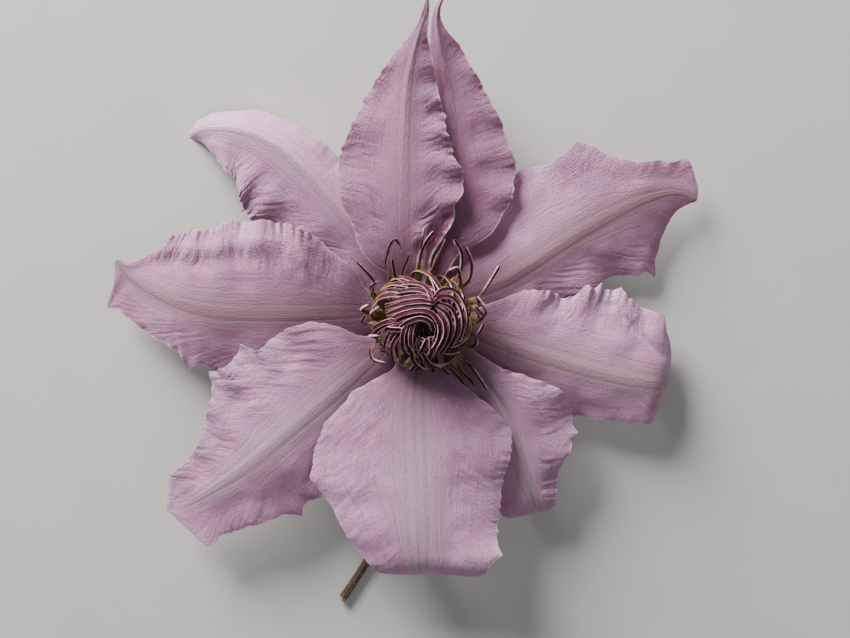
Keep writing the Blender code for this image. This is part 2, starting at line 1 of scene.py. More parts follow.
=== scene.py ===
# %% [markdown]
# # A clematis flower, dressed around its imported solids
#
# This lesson takes the plain solids of a picked clematis and gives them the look of the real flower.
# Nine mauve tepals lie in overlapping layers. They are sepals that do the work of petals: each is a
# thin, soft blade with a bar along its middle, fine veins, and a crinkled margin. Over them stands a
# boss of maroon stamens round a tuft of green styles.
#
# Every blade is a grid of points that follows a formula, so all its waves, wrinkles and teeth are
# real geometry. Sculpting by hand would give the same forms, but it couldn't be rerun or changed by
# one number.

# %% Load the solids as a fixed frame
import math
import random
from dataclasses import dataclass, field, fields

import bpy
import numpy as np
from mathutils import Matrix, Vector


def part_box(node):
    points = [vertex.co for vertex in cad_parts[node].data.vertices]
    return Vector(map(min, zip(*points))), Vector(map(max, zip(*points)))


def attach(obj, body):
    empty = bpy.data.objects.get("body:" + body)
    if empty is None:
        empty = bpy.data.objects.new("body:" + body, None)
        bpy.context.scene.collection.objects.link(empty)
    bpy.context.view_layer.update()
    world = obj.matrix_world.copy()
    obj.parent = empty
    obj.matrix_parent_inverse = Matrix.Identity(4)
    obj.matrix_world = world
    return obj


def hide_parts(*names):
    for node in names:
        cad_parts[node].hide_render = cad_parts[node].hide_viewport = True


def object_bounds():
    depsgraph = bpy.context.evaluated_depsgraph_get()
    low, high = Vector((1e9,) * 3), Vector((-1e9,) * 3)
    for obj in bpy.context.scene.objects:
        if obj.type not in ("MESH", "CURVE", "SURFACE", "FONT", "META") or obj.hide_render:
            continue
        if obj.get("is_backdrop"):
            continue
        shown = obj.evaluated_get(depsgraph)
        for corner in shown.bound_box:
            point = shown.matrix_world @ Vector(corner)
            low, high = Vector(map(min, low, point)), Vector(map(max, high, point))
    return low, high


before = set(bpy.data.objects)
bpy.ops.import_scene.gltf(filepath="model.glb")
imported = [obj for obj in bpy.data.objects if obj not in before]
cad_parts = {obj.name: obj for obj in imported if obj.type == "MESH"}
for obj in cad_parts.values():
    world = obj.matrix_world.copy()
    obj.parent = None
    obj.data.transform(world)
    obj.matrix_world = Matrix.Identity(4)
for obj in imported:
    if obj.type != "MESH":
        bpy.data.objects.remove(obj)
solid_box = [list(corner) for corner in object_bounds()]
MM = 0.001
sides = [round((high - low) / MM, 1) for low, high in zip(*solid_box)]
print("solids:", len(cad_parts), "nodes,", sides, "mm")

# %% [markdown]
# The tables below count from the flower's own axis. The receptacle is a round body on that axis, so
# its box tells where the axis stands in the frame.

# %% Find the flower's axis
RECEPTACLE_RADIUS = 3.8  # mm
receptacle_corner = np.array(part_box("stalk_with_receptacle")[1]) / MM
FLOWER_AXIS = np.append(receptacle_corner[:2] - RECEPTACLE_RADIUS, 0)
print("the flower's axis stands at", FLOWER_AXIS.round(2), "mm")

# %% [markdown]
# ## Curves through a few stations
#
# A blade's width, direction and slope all change along its length. Each is given at a few places and
# read from a smooth curve between them. The curve never overshoots its stations, so a width of zero
# stays zero.

# %% Smooth curves
LEFT, RIGHT = 1, -1


def smooth(stations, at):
    """Value at each place on a smooth curve through (place, value) stations, with no overshoot."""
    places, values = np.array(stations, dtype=float).T
    steps = np.diff(places)
    slopes = np.diff(values) / steps
    product = slopes[:-1] * slopes[1:]
    total = slopes[:-1] + slopes[1:]
    middle = np.where(product > 0, 2 * product / np.where(product > 0, total, 1), 0)
    tangents = np.concatenate([slopes[:1], middle, slopes[-1:]])
    at = np.asarray(at, dtype=float)
    span = np.clip(np.searchsorted(places, at, side="right") - 1, 0, len(steps) - 1)
    step = steps[span]
    t = (at - places[span]) / step
    return (
        values[span] * (1 + 2 * t) * (1 - t) ** 2
        + tangents[span] * step * t * (1 - t) ** 2
        + values[span + 1] * t**2 * (3 - 2 * t)
        + tangents[span + 1] * step * t**2 * (t - 1)
    )


def fade(value, low, high):
    """0 below low, 1 above high, and smooth between them. With low over high it fades out."""
    t = np.clip((np.asarray(value, dtype=float) - low) / (high - low), 0, 1)
    return t * t * (3 - 2 * t)


print("halfway along a rise from 0 to 1:", float(fade(0.5, 0, 1)))

# %% [markdown]
# Nothing that grows is even. Noise on a lattice of random numbers gives the slow, smooth unevenness
# of a petal, and the same seed gives the same petal in every run.

# %% Slow noise
LATTICE = 64  # cells before the noise repeats


def noise(x, y, seed):
    """Smooth noise from -1 to 1 that changes over a distance of about 1."""
    lattice = np.random.default_rng(seed).uniform(-1, 1, (LATTICE, LATTICE))
    x, y = np.broadcast_arrays(np.asarray(x, dtype=float), np.asarray(y, dtype=float))
    column, row = np.floor(x).astype(int), np.floor(y).astype(int)
    s, t = (part * part * (3 - 2 * part) for part in (x - column, y - row))
    here, beside = column % LATTICE, (column + 1) % LATTICE
    row_here, row_after = row % LATTICE, (row + 1) % LATTICE
    near = lattice[here, row_here] * (1 - s) + lattice[beside, row_here] * s
    far = lattice[here, row_after] * (1 - s) + lattice[beside, row_after] * s
    return near * (1 - t) + far * t


def layered_noise(x, y, seed, layers):
    """Noise in layers of (height, spacing along x, spacing along y), each with the next seed."""
    layered = 0
    for number, (height, x_spacing, y_spacing) in enumerate(layers):
        layered = layered + height * noise(x / x_spacing, y / y_spacing, seed + number)
    return layered


print("noise at three places:", noise([0.5, 1.5, 2.5], 0.5, seed=1).round(2))

# %% [markdown]
# ## The nine tepals
#
# Each tepal is told as a maker would tell it: where its claw sits round the receptacle, how its
# midrib turns and climbs, how wide each half is, and how each half rolls down. Then come its teeth,
# the slow waves of its margins, and the fine relief: wrinkles, folds and a frilled edge. The last
# three numbers are for its finish.

# %% Describe a tepal
@dataclass(frozen=True)
class Tepal:
    """One tepal, seen from above with its tip pointing away: u runs from 0 at the claw to 1."""

    name: str
    azimuth: float  # of its claw, round the receptacle, in degrees
    layer: float  # 0 for the hindmost
    length: float  # along the midrib, in mm
    heading: tuple  # (u, direction of the midrib)
    pitch: tuple  # (u, climb of the midrib)
    left: tuple  # (u, width of the left half, along its surface)
    right: tuple
    left_roll: tuple  # (u, slope of the left half at the midrib, halfway and at the margin)
    right_roll: tuple
    teeth: tuple = ()  # (side, u, height, half length)
    ruffles: tuple = ()  # (side, height, waves along the margin, phase in waves)
    wrinkles: tuple = ()  # (side, height, spacing, slant towards the tip, where they begin)
    folds: tuple = ()  # (side, height, width, ((u, share of the half), ...))
    frills: tuple = ()  # (side, height, spacing, first u, last u)
    bar: float = 5.2  # half width of the bar, in mm
    # A bar darker than the blade is partly its own grey and partly painted shade in its trough.
    greyness: float = 0.6  # of the bar: faint at 0, pale at 0.5 and darker than the blade at 1
    # A tone below 1 darkens a whole tepal: partly a deeper mauve of its own, partly painted shade.
    tone: float = 1.0  # 1 is full mauve, and less is darker


print("a tepal is told by", len(fields(Tepal)), "things")

# %% [markdown]
# The two top tepals stand side by side and end in long points. The left one lies over the right one,
# and both are painted darker than the rest: partly a deeper mauve of their own, partly painted shade.

# %% The top tepals
TOP_TEPALS = (
    Tepal(
        "tepal_top_left",
        azimuth=106,
        layer=2,
        length=82,
        heading=((0, 103), (0.16, 98), (0.3, 91), (0.5, 89), (0.65, 86), (0.8, 77), (0.92, 72), (1, 92)),
        pitch=((0, 24), (0.12, 14), (0.3, 2), (0.6, 0), (0.8, 3), (1, 6)),
        left=((0, 1.5), (0.06, 2.6), (0.12, 6.5), (0.18, 11), (0.25, 13.5), (0.35, 16.5), (0.43, 17.5),
              (0.5, 16.5), (0.58, 14), (0.66, 11), (0.75, 7), (0.84, 3.4), (0.92, 1.1), (1, 0.4)),
        right=((0, 1.4), (0.1, 2.0), (0.2, 4.2), (0.25, 5.2), (0.29, 9.4), (0.33, 13.5), (0.38, 16),
               (0.43, 15.8), (0.5, 13.4), (0.6, 10.8), (0.73, 8), (0.81, 5.4), (0.9, 2), (1, 0.4)),
        left_roll=((0, 0, 0, 0), (0.3, -4, -6, -10), (0.6, -14, -10, 0), (1, -30, -30, -20)),
        right_roll=((0, 0, 0, 0), (0.3, -2, -6, -8), (0.6, -12, -10, 0), (1, -30, -30, -20)),
        ruffles=((RIGHT, 0.8, 9, 0.1), (LEFT, 0.6, 5, 0.4)),
        wrinkles=((LEFT, 0.13, 1.9, 0.35, 0.25), (RIGHT, 0.16, 1.9, 0.4, 0.3)),
        frills=((RIGHT, 0.45, 2.2, 0.45, 0.95), (LEFT, 0.25, 3.0, 0.35, 0.85)),
        bar=3.2,
        greyness=0.3,
        tone=0.76,
    ),
    Tepal(
        "tepal_top_right",
        azimuth=66,
        layer=1,
        length=82,
        heading=((0, 66), (0.15, 72), (0.3, 88), (0.6, 92), (0.72, 100), (0.88, 100), (0.95, 80), (1, 50)),
        pitch=((0, 2), (0.3, 2), (0.5, 2), (0.7, 3), (0.85, 4), (1, 4)),
        left=((0, 1.4), (0.1, 4), (0.2, 9), (0.35, 12), (0.45, 12), (0.6, 10), (0.75, 6.5), (0.88, 2.5),
              (1, 0.4)),
        right=((0, 1.4), (0.1, 2.4), (0.18, 4), (0.22, 8), (0.28, 13.5), (0.38, 17), (0.46, 17.3),
               (0.53, 15.5), (0.65, 11), (0.75, 7.4), (0.83, 5.2), (0.88, 2.8), (0.94, 1), (1, 0.4)),
        left_roll=((0, 0, 0, 0), (0.3, -6, -8, -10), (0.7, -10, -12, -12), (1, -30, -30, -20)),
        right_roll=((0, 0, 0, 0), (0.3, -2, -4, -4), (0.6, -7, -12, -6), (1, -30, -30, -20)),
        ruffles=((RIGHT, 0.7, 8, 0.3),),
        wrinkles=((RIGHT, 0.13, 1.9, 0.25, 0.25), (LEFT, 0.08, 2.0, 0.4, 0.4)),
        frills=((RIGHT, 0.24, 2.0, 0.35, 0.92),),
        bar=3.0,
        greyness=0.15,
        tone=0.74,
    ),
)
print("top tepals:", [tepal.name for tepal in TOP_TEPALS])

# %% [markdown]
# On the right, one broad tepal ends in a hooked tip, and two curl their ends down and under: their
# pitch falls past straight down within a centimetre.

# %% The tepals on the right
RIGHT_TEPALS = (
    Tepal(
        "tepal_upper_right",
        azimuth=22,
        layer=0,
        length=79.5,
        heading=((0, 18), (0.15, 20), (0.3, 32), (0.45, 34), (0.7, 26), (0.85, 14), (1, -40)),
        pitch=((0, 2), (0.3, 0), (0.5, -1), (0.7, -5), (0.85, -10), (1, -14)),
        left=((0, 1.5), (0.05, 5.5), (0.1, 9.5), (0.15, 12.5), (0.26, 17), (0.4, 21.3), (0.5, 22.5),
              (0.58, 20.5), (0.64, 20.2), (0.68, 21.5), (0.71, 19.5), (0.745, 14.8), (0.79, 11.5),
              (0.84, 9.8), (0.89, 8.8), (0.94, 7), (0.97, 4.2), (1, 0.4)),
        right=((0, 1.5), (0.1, 5.5), (0.22, 11), (0.36, 15), (0.5, 16.3), (0.6, 18), (0.68, 20.3),
               (0.765, 19.5), (0.86, 13), (0.92, 9), (0.97, 4), (1, 0.4)),
        left_roll=((0, 0, -6, -10), (0.3, -8, -14, -14), (0.6, 0, -4, -6), (0.8, 2, 4, 6),
                   (1, -10, 0, 0)),
        right_roll=((0, 0, -4, -8), (0.3, -12, -14, -14), (0.7, -12, -18, -20), (1, -10, -20, -20)),
        teeth=((RIGHT, 0.752, 4, 0.035), (LEFT, 0.93, 2.5, 0.03)),
        ruffles=((LEFT, 1.0, 5, 0.0), (RIGHT, 0.8, 4, 0.4)),
        wrinkles=((RIGHT, 0.14, 2.0, 1.5, 0.3), (LEFT, 0.12, 2.2, 0.5, 0.4)),
        frills=((LEFT, 0.25, 3.4, 0.25, 0.95), (RIGHT, 0.15, 4.0, 0.5, 0.95)),
        bar=4.4,
        greyness=1.0,
        tone=0.93,
    ),
    Tepal(
        "tepal_right",
        azimuth=-19,
        layer=1,
        length=86,
        heading=((0, -20), (0.2, -20), (0.4, -17), (0.6, -14), (0.75, -11), (1, -14)),
        pitch=((0, 5), (0.2, 2), (0.4, 0), (0.63, -3), (0.72, -11), (0.785, -52), (0.83, -92),
               (0.878, -126), (0.914, -160), (0.95, -178), (1, -182)),
        left=((0, 1.5), (0.08, 4.5), (0.16, 9.5), (0.22, 14), (0.3, 17.5), (0.37, 17), (0.43, 20.5),
              (0.5, 22), (0.56, 21.8), (0.65, 20), (0.73, 18.8), (0.8, 15.5), (0.87, 10.5), (0.94, 5),
              (1, 0.5)),
        right=((0, 1.5), (0.08, 3.5), (0.2, 10), (0.35, 15), (0.5, 17), (0.6, 15.5), (0.7, 13.6),
               (0.8, 12.4), (0.88, 8.5), (0.95, 4), (1, 0.5)),
        left_roll=((0, 0, 0, 0), (0.3, -2, -4, -4), (0.6, -4, -8, -22), (0.8, -4, -12, -30),
                   (1, 0, -10, -20)),
        right_roll=((0, 0, -6, -12), (0.3, -12, -24, -28), (0.6, -9, -22, -26), (0.8, -4, -10, -12),
                    (1, 0, -8, -12)),
        teeth=((LEFT, 0.43, 2, 0.02), (LEFT, 0.48, 2, 0.02), (LEFT, 0.55, 2, 0.03)),
        ruffles=((LEFT, 0.9, 7, 0.2), (RIGHT, 0.6, 5, 0.1)),
        wrinkles=((LEFT, 0.16, 1.9, 0.0, 0.4), (RIGHT, 0.12, 2.1, 1.4, 0.3)),
        folds=((LEFT, -0.6, 1.1, ((0.5, 0.84), (0.62, 0.7), (0.74, 0.42))),),
        frills=((LEFT, 0.5, 2.4, 0.3, 0.62),),
        bar=4.8,
        greyness=0.8,
        tone=0.97,
    ),
    Tepal(
        "tepal_lower_right",
        azimuth=-46,
        layer=2,
        length=81,
        heading=((0, -46), (0.18, -50), (0.35, -61), (0.5, -70), (0.7, -72), (1, -70)),
        pitch=((0, 8), (0.2, 4), (0.45, -4), (0.68, -12), (0.785, -36), (0.845, -90),
               (0.9, -134), (0.946, -174), (1, -182)),
        left=((0, 1.5), (0.1, 3), (0.2, 5), (0.27, 7.5), (0.34, 13), (0.4, 17.8), (0.46, 18.8), (0.54, 17),
              (0.62, 12.8), (0.7, 8.6), (0.78, 6), (0.88, 4.5), (0.95, 2.8), (1, 0.4)),
        right=((0, 1.5), (0.1, 5), (0.2, 9), (0.35, 12), (0.5, 12.5), (0.65, 12), (0.75, 10.5),
               (0.85, 7.5), (0.93, 4), (1, 0.4)),
        left_roll=((0, 0, 0, 0), (0.3, 8, 0, -6), (0.5, 14, -12, -16), (0.7, 10, -10, -10),
                   (1, 0, -10, -10)),
        right_roll=((0, 0, -4, -8), (0.3, -8, -14, -14), (0.6, -6, -12, -10), (1, 0, -10, -10)),
        teeth=((LEFT, 0.55, 1.8, 0.03),),
        ruffles=((LEFT, 0.9, 5, 0.3), (RIGHT, 0.4, 4, 0.0)),
        wrinkles=((LEFT, 0.2, 2.0, 0.4, 0.28), (RIGHT, 0.1, 2.2, 1.0, 0.4)),
        folds=((LEFT, -0.5, 0.9, ((0.25, 0.12), (0.8, 0.08))),),
        frills=((LEFT, 0.4, 3.4, 0.25, 0.65),),
        bar=3.6,
        tone=0.97,
    ),
)
print("tepals on the right:", [tepal.name for tepal in RIGHT_TEPALS])

# %% [markdown]
# The lowest tepal lies over all the others and turns its end down. Its neighbour on the left is
# flatter and has the most frilled margin.

# %% The low tepals
LOW_TEPALS = (
    Tepal(
        "tepal_bottom",
        azimuth=-92,
        layer=3,
        length=89.6,
        heading=((0, -94), (0.15, -94), (0.35, -88), (0.6, -88), (0.8, -84), (1, -82)),
        pitch=((0, 18), (0.12, 14), (0.3, 5), (0.55, -2), (0.7, -10), (0.78, -38), (0.84, -76),
               (0.93, -106), (1, -150)),
        left=((0, 1.8), (0.08, 5), (0.13, 10), (0.18, 15.5), (0.26, 23.5), (0.34, 26.5), (0.4, 26),
              (0.47, 24.5), (0.57, 23), (0.67, 22), (0.75, 20), (0.82, 15), (0.9, 8.5), (0.96, 4),
              (1, 0.5)),
        right=((0, 1.8), (0.08, 4.5), (0.13, 7), (0.17, 12.5), (0.21, 17.5), (0.29, 24), (0.36, 27.5),
               (0.45, 29.3), (0.5, 27.6), (0.56, 24), (0.64, 20.6), (0.7, 17.6), (0.76, 14.4), (0.84, 10),
               (0.92, 6), (1, 0.5)),
        left_roll=((0, 0, 0, 0), (0.3, -1, -5, -12), (0.6, -3, -10, -20), (0.8, 4, 8, 4), (1, 0, 0, 0)),
        right_roll=((0, 0, 0, 0), (0.3, 0, -5, -12), (0.6, -2, -9, -20), (0.8, -2, -8, -14),
                    (1, 0, -4, -6)),
        teeth=((LEFT, 0.73, 2.2, 0.03), (LEFT, 0.83, 2.5, 0.03), (RIGHT, 0.2, 1.2, 0.02),
               (RIGHT, 0.29, 1.2, 0.02)),
        ruffles=((LEFT, 0.6, 5, 0.2), (RIGHT, 0.4, 6, 0.5)),
        wrinkles=((LEFT, 0.12, 2.0, 0.8, 0.25), (RIGHT, 0.13, 2.1, 0.9, 0.25)),
        frills=((RIGHT, 0.15, 3.0, 0.08, 0.32), (LEFT, 0.15, 3.0, 0.1, 0.5)),
        bar=5.4,
    ),
    Tepal(
        "tepal_lower_left",
        azimuth=-136,
        layer=2,
        length=89,
        heading=((0, -136), (0.2, -139), (0.4, -140), (0.6, -138), (0.75, -143), (0.9, -146), (1, -170)),
        pitch=((0, 14), (0.2, 7), (0.4, 1), (0.6, -6), (0.75, -11), (0.9, -15), (1, -10)),
        left=((0, 1.6), (0.1, 5), (0.2, 12), (0.35, 18), (0.5, 21.5), (0.6, 22), (0.67, 20.5),
              (0.72, 18.5), (0.8, 16), (0.88, 14), (0.93, 10.5), (0.96, 5), (1, 0.4)),
        right=((0, 1.6), (0.1, 4.5), (0.14, 8), (0.17, 13.5), (0.23, 19), (0.3, 22), (0.39, 22),
               (0.45, 24.5), (0.55, 24.5), (0.6, 21.5), (0.65, 18.5), (0.7, 16), (0.77, 12.3), (0.87, 9.5),
               (0.92, 9.2), (0.96, 6.5), (1, 0.4)),
        left_roll=((0, 0, -8, -14), (0.3, -12, -22, -24), (0.6, -8, -16, -22), (0.85, -4, -8, -8),
                   (1, 0, 0, 0)),
        right_roll=((0, 0, 0, 0), (0.3, 0, -3, -2), (0.6, -4, -8, -6), (0.85, -6, -8, 0), (1, 0, 0, 0)),
        teeth=((LEFT, 0.68, 3.2, 0.025), (LEFT, 0.94, 6, 0.04), (RIGHT, 0.435, 2.2, 0.025),
               (RIGHT, 0.565, 2.2, 0.025)),
        ruffles=((RIGHT, 1.0, 8, 0.1), (LEFT, 0.7, 5, 0.4)),
        wrinkles=((RIGHT, 0.24, 1.8, 1.1, 0.22), (LEFT, 0.08, 2.2, 1.5, 0.4)),
        frills=((RIGHT, 0.9, 2.6, 0.34, 0.64), (LEFT, 0.3, 4.0, 0.5, 0.95)),
        bar=4.4,
        tone=0.95,
    ),
)
print("low tepals:", [tepal.name for tepal in LOW_TEPALS])

# %% [markdown]
# The left tepal is folded along its upper half. The upper left one rolls that half steeply down, and
# its tip bends round to the left.

# %% The tepals on the left
LEFT_TEPALS = (
    Tepal(
        "tepal_left",
        azimuth=177,
        layer=1,
        length=83,
        heading=((0, 178), (0.25, 181), (0.5, 180), (0.65, 172), (0.78, 160), (0.9, 145), (1, 118)),
        pitch=((0, 4), (0.2, 2), (0.45, -2), (0.65, -7), (0.8, -10), (0.92, -6), (1, 0)),
        left=((0, 1.6), (0.1, 6.5), (0.2, 12), (0.35, 18), (0.5, 20), (0.6, 19.5), (0.69, 16), (0.76, 13),
              (0.82, 12), (0.86, 11), (0.92, 9.5), (0.955, 4), (1, 0.4)),
        right=((0, 1.6), (0.1, 4), (0.14, 8.5), (0.17, 12.5), (0.22, 16), (0.27, 20), (0.32, 23),
               (0.38, 25), (0.46, 25.5), (0.55, 25.5), (0.62, 24), (0.7, 21.5), (0.8, 19), (0.86, 16.5),
               (0.91, 12.5), (0.945, 6), (0.975, 2.2), (1, 0.4)),
        left_roll=((0, 0, -6, -10), (0.3, -12, -22, -22), (0.6, -14, -18, -18), (0.85, -12, -8, 0),
                   (1, -20, -10, 0)),
        right_roll=((0, 0, 0, 0), (0.3, 8, 6, -4), (0.6, 8, 0, -24), (0.85, -4, -2, 0),
                    (1, -20, -10, 0)),
        teeth=((LEFT, 0.69, 3.5, 0.025), (LEFT, 0.925, 2.5, 0.025), (RIGHT, 0.8, 1.2, 0.02),
               (RIGHT, 0.88, 1.5, 0.02)),
        ruffles=((RIGHT, 1.0, 7, 0.0), (LEFT, 0.6, 4, 0.4)),
        wrinkles=((RIGHT, 0.25, 1.9, 0.1, 0.3), (LEFT, 0.1, 2.2, 1.8, 0.3)),
        folds=((RIGHT, -0.3, 2.2, ((0.38, 0.6), (0.6, 0.58), (0.9, 0.48))),
               (RIGHT, 0.5, 2.2, ((0.4, 0.8), (0.9, 0.72)))),
        frills=((RIGHT, 0.5, 2.4, 0.3, 0.95), (LEFT, 0.35, 3.6, 0.55, 0.95)),
        bar=4.6,
        greyness=0.85,
        tone=0.88,
    ),
    Tepal(
        "tepal_upper_left",
        azimuth=130,
        layer=0,
        length=86,
        heading=((0, 120), (0.14, 126), (0.3, 131), (0.45, 129), (0.58, 138), (0.7, 157), (0.82, 180),
                 (0.92, 200), (1, 230)),
        pitch=((0, 2), (0.3, 3), (0.5, 2), (0.65, -5), (0.78, -16), (0.88, -38), (1, -52)),
        left=((0, 1.5), (0.05, 5), (0.1, 9), (0.15, 11.8), (0.22, 14), (0.35, 19), (0.5, 22), (0.6, 21),
              (0.67, 19), (0.74, 16), (0.8, 13.2), (0.86, 10.4), (0.91, 8), (0.95, 5), (1, 0.4)),
        right=((0, 1.5), (0.1, 5), (0.2, 9), (0.35, 13), (0.5, 15), (0.6, 14.5), (0.7, 12.5), (0.8, 9.5),
               (0.88, 6.5), (0.95, 3.5), (1, 0.4)),
        left_roll=((0, 0, -8, -16), (0.3, -12, -24, -26), (0.55, -12, -18, -16), (0.8, -8, -10, -6),
                   (1, 0, 0, 0)),
        right_roll=((0, 0, -8, -16), (0.3, -20, -38, -46), (0.5, -24, -64, -80), (0.8, -20, -64, -90),
                    (1, -10, -40, -60)),
        teeth=((LEFT, 0.6, 1.2, 0.02), (LEFT, 0.68, 1.2, 0.02)),
        ruffles=((LEFT, 0.9, 6, 0.1),),
        wrinkles=((LEFT, 0.18, 2.0, 0.8, 0.3), (RIGHT, 0.08, 2.2, 0.5, 0.5)),
        frills=((LEFT, 0.4, 2.6, 0.4, 0.88),),
        bar=3.2,
        greyness=0.3,
    ),
)
TEPALS = TOP_TEPALS + RIGHT_TEPALS + LOW_TEPALS + LEFT_TEPALS
print(len(TEPALS), "tepals, the longest", max(tepal.length for tepal in TEPALS), "mm")

# %% [markdown]
# ## From a table row to a blade
#
# The midrib is walked step by step: each step turns with the heading and climbs with the pitch. From
# every point of the midrib the two halves are then walked outwards to their margins, and their slope
# changes on the way. That gives a sheet that is bent but never stretched, as a real tepal is.

# %% Walk the midrib
ROWS = 221  # along a tepal
SUBSTEPS = 4  # of the walk for each row
CLAW_HEIGHT = 11.0  # middle of the hindmost claws
LAYER_STEP = 1.2  # from one layer of claws to the next
SEAT_GAP = 0.3  # between a claw and the receptacle


def compass(degrees, radius=1.0):
    """The level point at this angle round the axis."""
    angle = math.radians(degrees)
    return np.array([radius * math.cos(angle), radius * math.sin(angle), 0.0])


def walk_midrib(tepal, rows):
    """Rows of points along the midrib, with the directions across and up."""
    u = np.linspace(0, 1, (rows - 1) * SUBSTEPS + 1)
    heading = np.radians(smooth(tepal.heading, u))
    pitch = np.radians(smooth(tepal.pitch, u))[:, None]
    level = np.stack([np.cos(heading), np.sin(heading), np.zeros_like(heading)], axis=1)
    across = np.stack([-np.sin(heading), np.cos(heading), np.zeros_like(heading)], axis=1)
    along = np.cos(pitch) * level + np.sin(pitch) * (0, 0, 1)
    steps = (along[1:] + along[:-1]) / 2 * tepal.length / (len(u) - 1)
    root = FLOWER_AXIS + compass(tepal.azimuth, RECEPTACLE_RADIUS + SEAT_GAP)
    root[2] = CLAW_HEIGHT + LAYER_STEP * tepal.layer
    points = root + np.concatenate([np.zeros((1, 3)), np.cumsum(steps, axis=0)])
    return [values[::SUBSTEPS] for values in (u, points, across, np.cross(along, across))]


first_midrib = walk_midrib(TEPALS[0], ROWS)
tip_reach = np.linalg.norm(first_midrib[1][-1, :2] - FLOWER_AXIS[:2])
print("the first midrib ends", round(float(tip_reach), 1), "mm from the axis")

# %% [markdown]
# A margin is no clean curve. It is a little ragged everywhere and has a few teeth. Where it frills,
# it also swings in and out, because the surplus length goes both ways.

# %% Find the width of a half
RAGGED = ((0.32, 1.2, 1), (0.3, 4, 1))  # layers of a margin's unevenness
SCALLOP = 0.55  # in and out of a frilled margin, as a share of the frill's height
CLEAN_WIDTH = 1.6  # up to this width a half has a clean margin, in mm
RAGGED_WIDTH = 9.6  # from this width on it has all its unevenness


def seed_of(tepal):
    """A number of its own for each tepal, so that no two are wrinkled alike."""
    return sum(ord(letter) for letter in tepal.name) * 10


def frill_wave(tepal, frill, u, along):
    """Height of one frill at a margin, in mm: waves of uneven length that fade out at both ends."""
    side, height, spacing, first, last = frill
    crowd = noise(along / 9, side, seed_of(tepal) + 7)
    phase = 2 * np.pi * (along + 2.2 * crowd) / spacing
    wave = 0.65 * np.sin(phase) + 0.45 * np.sin(0.57 * phase + 2 * crowd)
    swell = 0.7 + 0.8 * noise(along / 4, side, seed_of(tepal) + 8)
    return height * wave * swell * fade(u, first - 0.06, first + 0.04) * fade(u, last + 0.04, last - 0.06)


def half_width(tepal, side, u):
    """Width of one half along its surface, with its teeth and a slightly ragged margin."""
    width = smooth(tepal.left if side == LEFT else tepal.right, u)
    for tooth_side, place, height, reach in tepal.teeth:
        if tooth_side == side:
            width = width + height * np.clip(1 - np.abs(u - place) / reach, 0, None) ** 1.3
    margin = u * tepal.length
    ragged = layered_noise(margin, side, seed_of(tepal), RAGGED)
    for frill in tepal.frills:
        if frill[0] == side:
            ragged = ragged + SCALLOP * frill_wave(tepal, frill, u, margin)
    return width + ragged * np.clip((width - CLEAN_WIDTH) / (RAGGED_WIDTH - CLEAN_WIDTH), 0, 1)


widest = max(half_width(LOW_TEPALS[0], side, np.linspace(0, 1, ROWS)).max() for side in (LEFT, RIGHT))
print("the lowest tepal's wider half is", round(float(widest), 1), "mm wide")

# %% [markdown]
# The walk outwards takes many small steps, whose slope goes smoothly from that at the midrib to that
# at the margin. The blade's columns are then read from it.

# %% Walk out to the margins
HALF_COLUMNS = 50  # from the midrib to a margin
FINE_STEPS = 96  # of the walk across one half


def unit(vectors):
    """The same directions with a length of 1."""
    return vectors / np.linalg.norm(vectors, axis=-1, keepdims=True)


def walk_half(tepal, side, shares, u, points, across, up):
    """One half of the blade: a row for each u, a column for each share of the way to the margin."""
    roll = np.array(tepal.left_roll if side == LEFT else tepal.right_roll, dtype=float)
    near, middle, edge = (smooth(roll[:, [0, k]], u)[:, None] for k in (1, 2, 3))
    v = (np.arange(FINE_STEPS)[None, :] + 0.5) / FINE_STEPS
    slope = np.radians(near * (1 - v) * (1 - 2 * v) + middle * 4 * v * (1 - v) + edge * v * (2 * v - 1))
    step = half_width(tepal, side, u)[:, None] / FINE_STEPS
    at = shares * FINE_STEPS
    first = np.minimum(at.astype(int), FINE_STEPS - 1)
    part = at - first
    reached = []
    for share_of_step in (np.cos(slope), np.sin(slope)):
        walked = np.concatenate([np.zeros((len(u), 1)), np.cumsum(share_of_step * step, axis=1)], axis=1)
        reached.append(walked[:, first] * (1 - part) + walked[:, first + 1] * part)
    out, rise = reached
    return points[:, None] + side * out[..., None] * across[:, None] + rise[..., None] * up[:, None]


def normals(surface):
    """Unit normal at each point of a grid surface."""
    return unit(np.cross(np.gradient(surface, axis=0), np.gradient(surface, axis=1)))


first_half = walk_half(TEPALS[0], LEFT, np.linspace(0, 1, HALF_COLUMNS), *first_midrib)
print("rows, columns and numbers in one half:", first_half.shape)

# %% [markdown]
# ## Relief
#
# A tepal unfolds from a tight bud, and its soft tissue keeps the marks: slow cockles, fine wrinkles
# that run outwards across each half, a few long folds, and a margin that is longer than it has room
# for and so frills. Each is a height added along the surface normal. A displacement modifier could
# do this with a texture, but here every wrinkle can follow the blade's own length and width.

# %% Slow waves, folds and frills
FRILL_BAND = 0.2  # outer share of a half that frills


def ruffles_of(tepal, u, v):
    """Slow waves of the margins, as the solids have them."""
    lift = np.zeros((len(u), len(v)))
    for side, height, waves, phase in tepal.ruffles:
        window = np.clip(side * v, 0, 1)[None, :] ** 2 * np.sin(np.pi * np.clip(u, 0, 1))[:, None] ** 0.7
        lift += height * window * np.sin(2 * np.pi * (waves * u + phase))[:, None]
    return lift


def folds_of(tepal, u, v, width):
    """Long creases, each along its own line of shares of the half."""
    lift = np.zeros_like(width)
    for side, height, breadth, line in tepal.folds:
        first, last = line[0][0], line[-1][0]
        centre = smooth(line, np.clip(u, first, last))[:, None]
        half = half_width(tepal, side, u)[:, None]
        away = (side * v[None, :] - centre) * half
        window = fade(u, first - 0.05, first + 0.06) * fade(u, last + 0.05, last - 0.06)
        lift += height * np.exp(-((away / breadth) ** 2)) * window[:, None]
    return lift


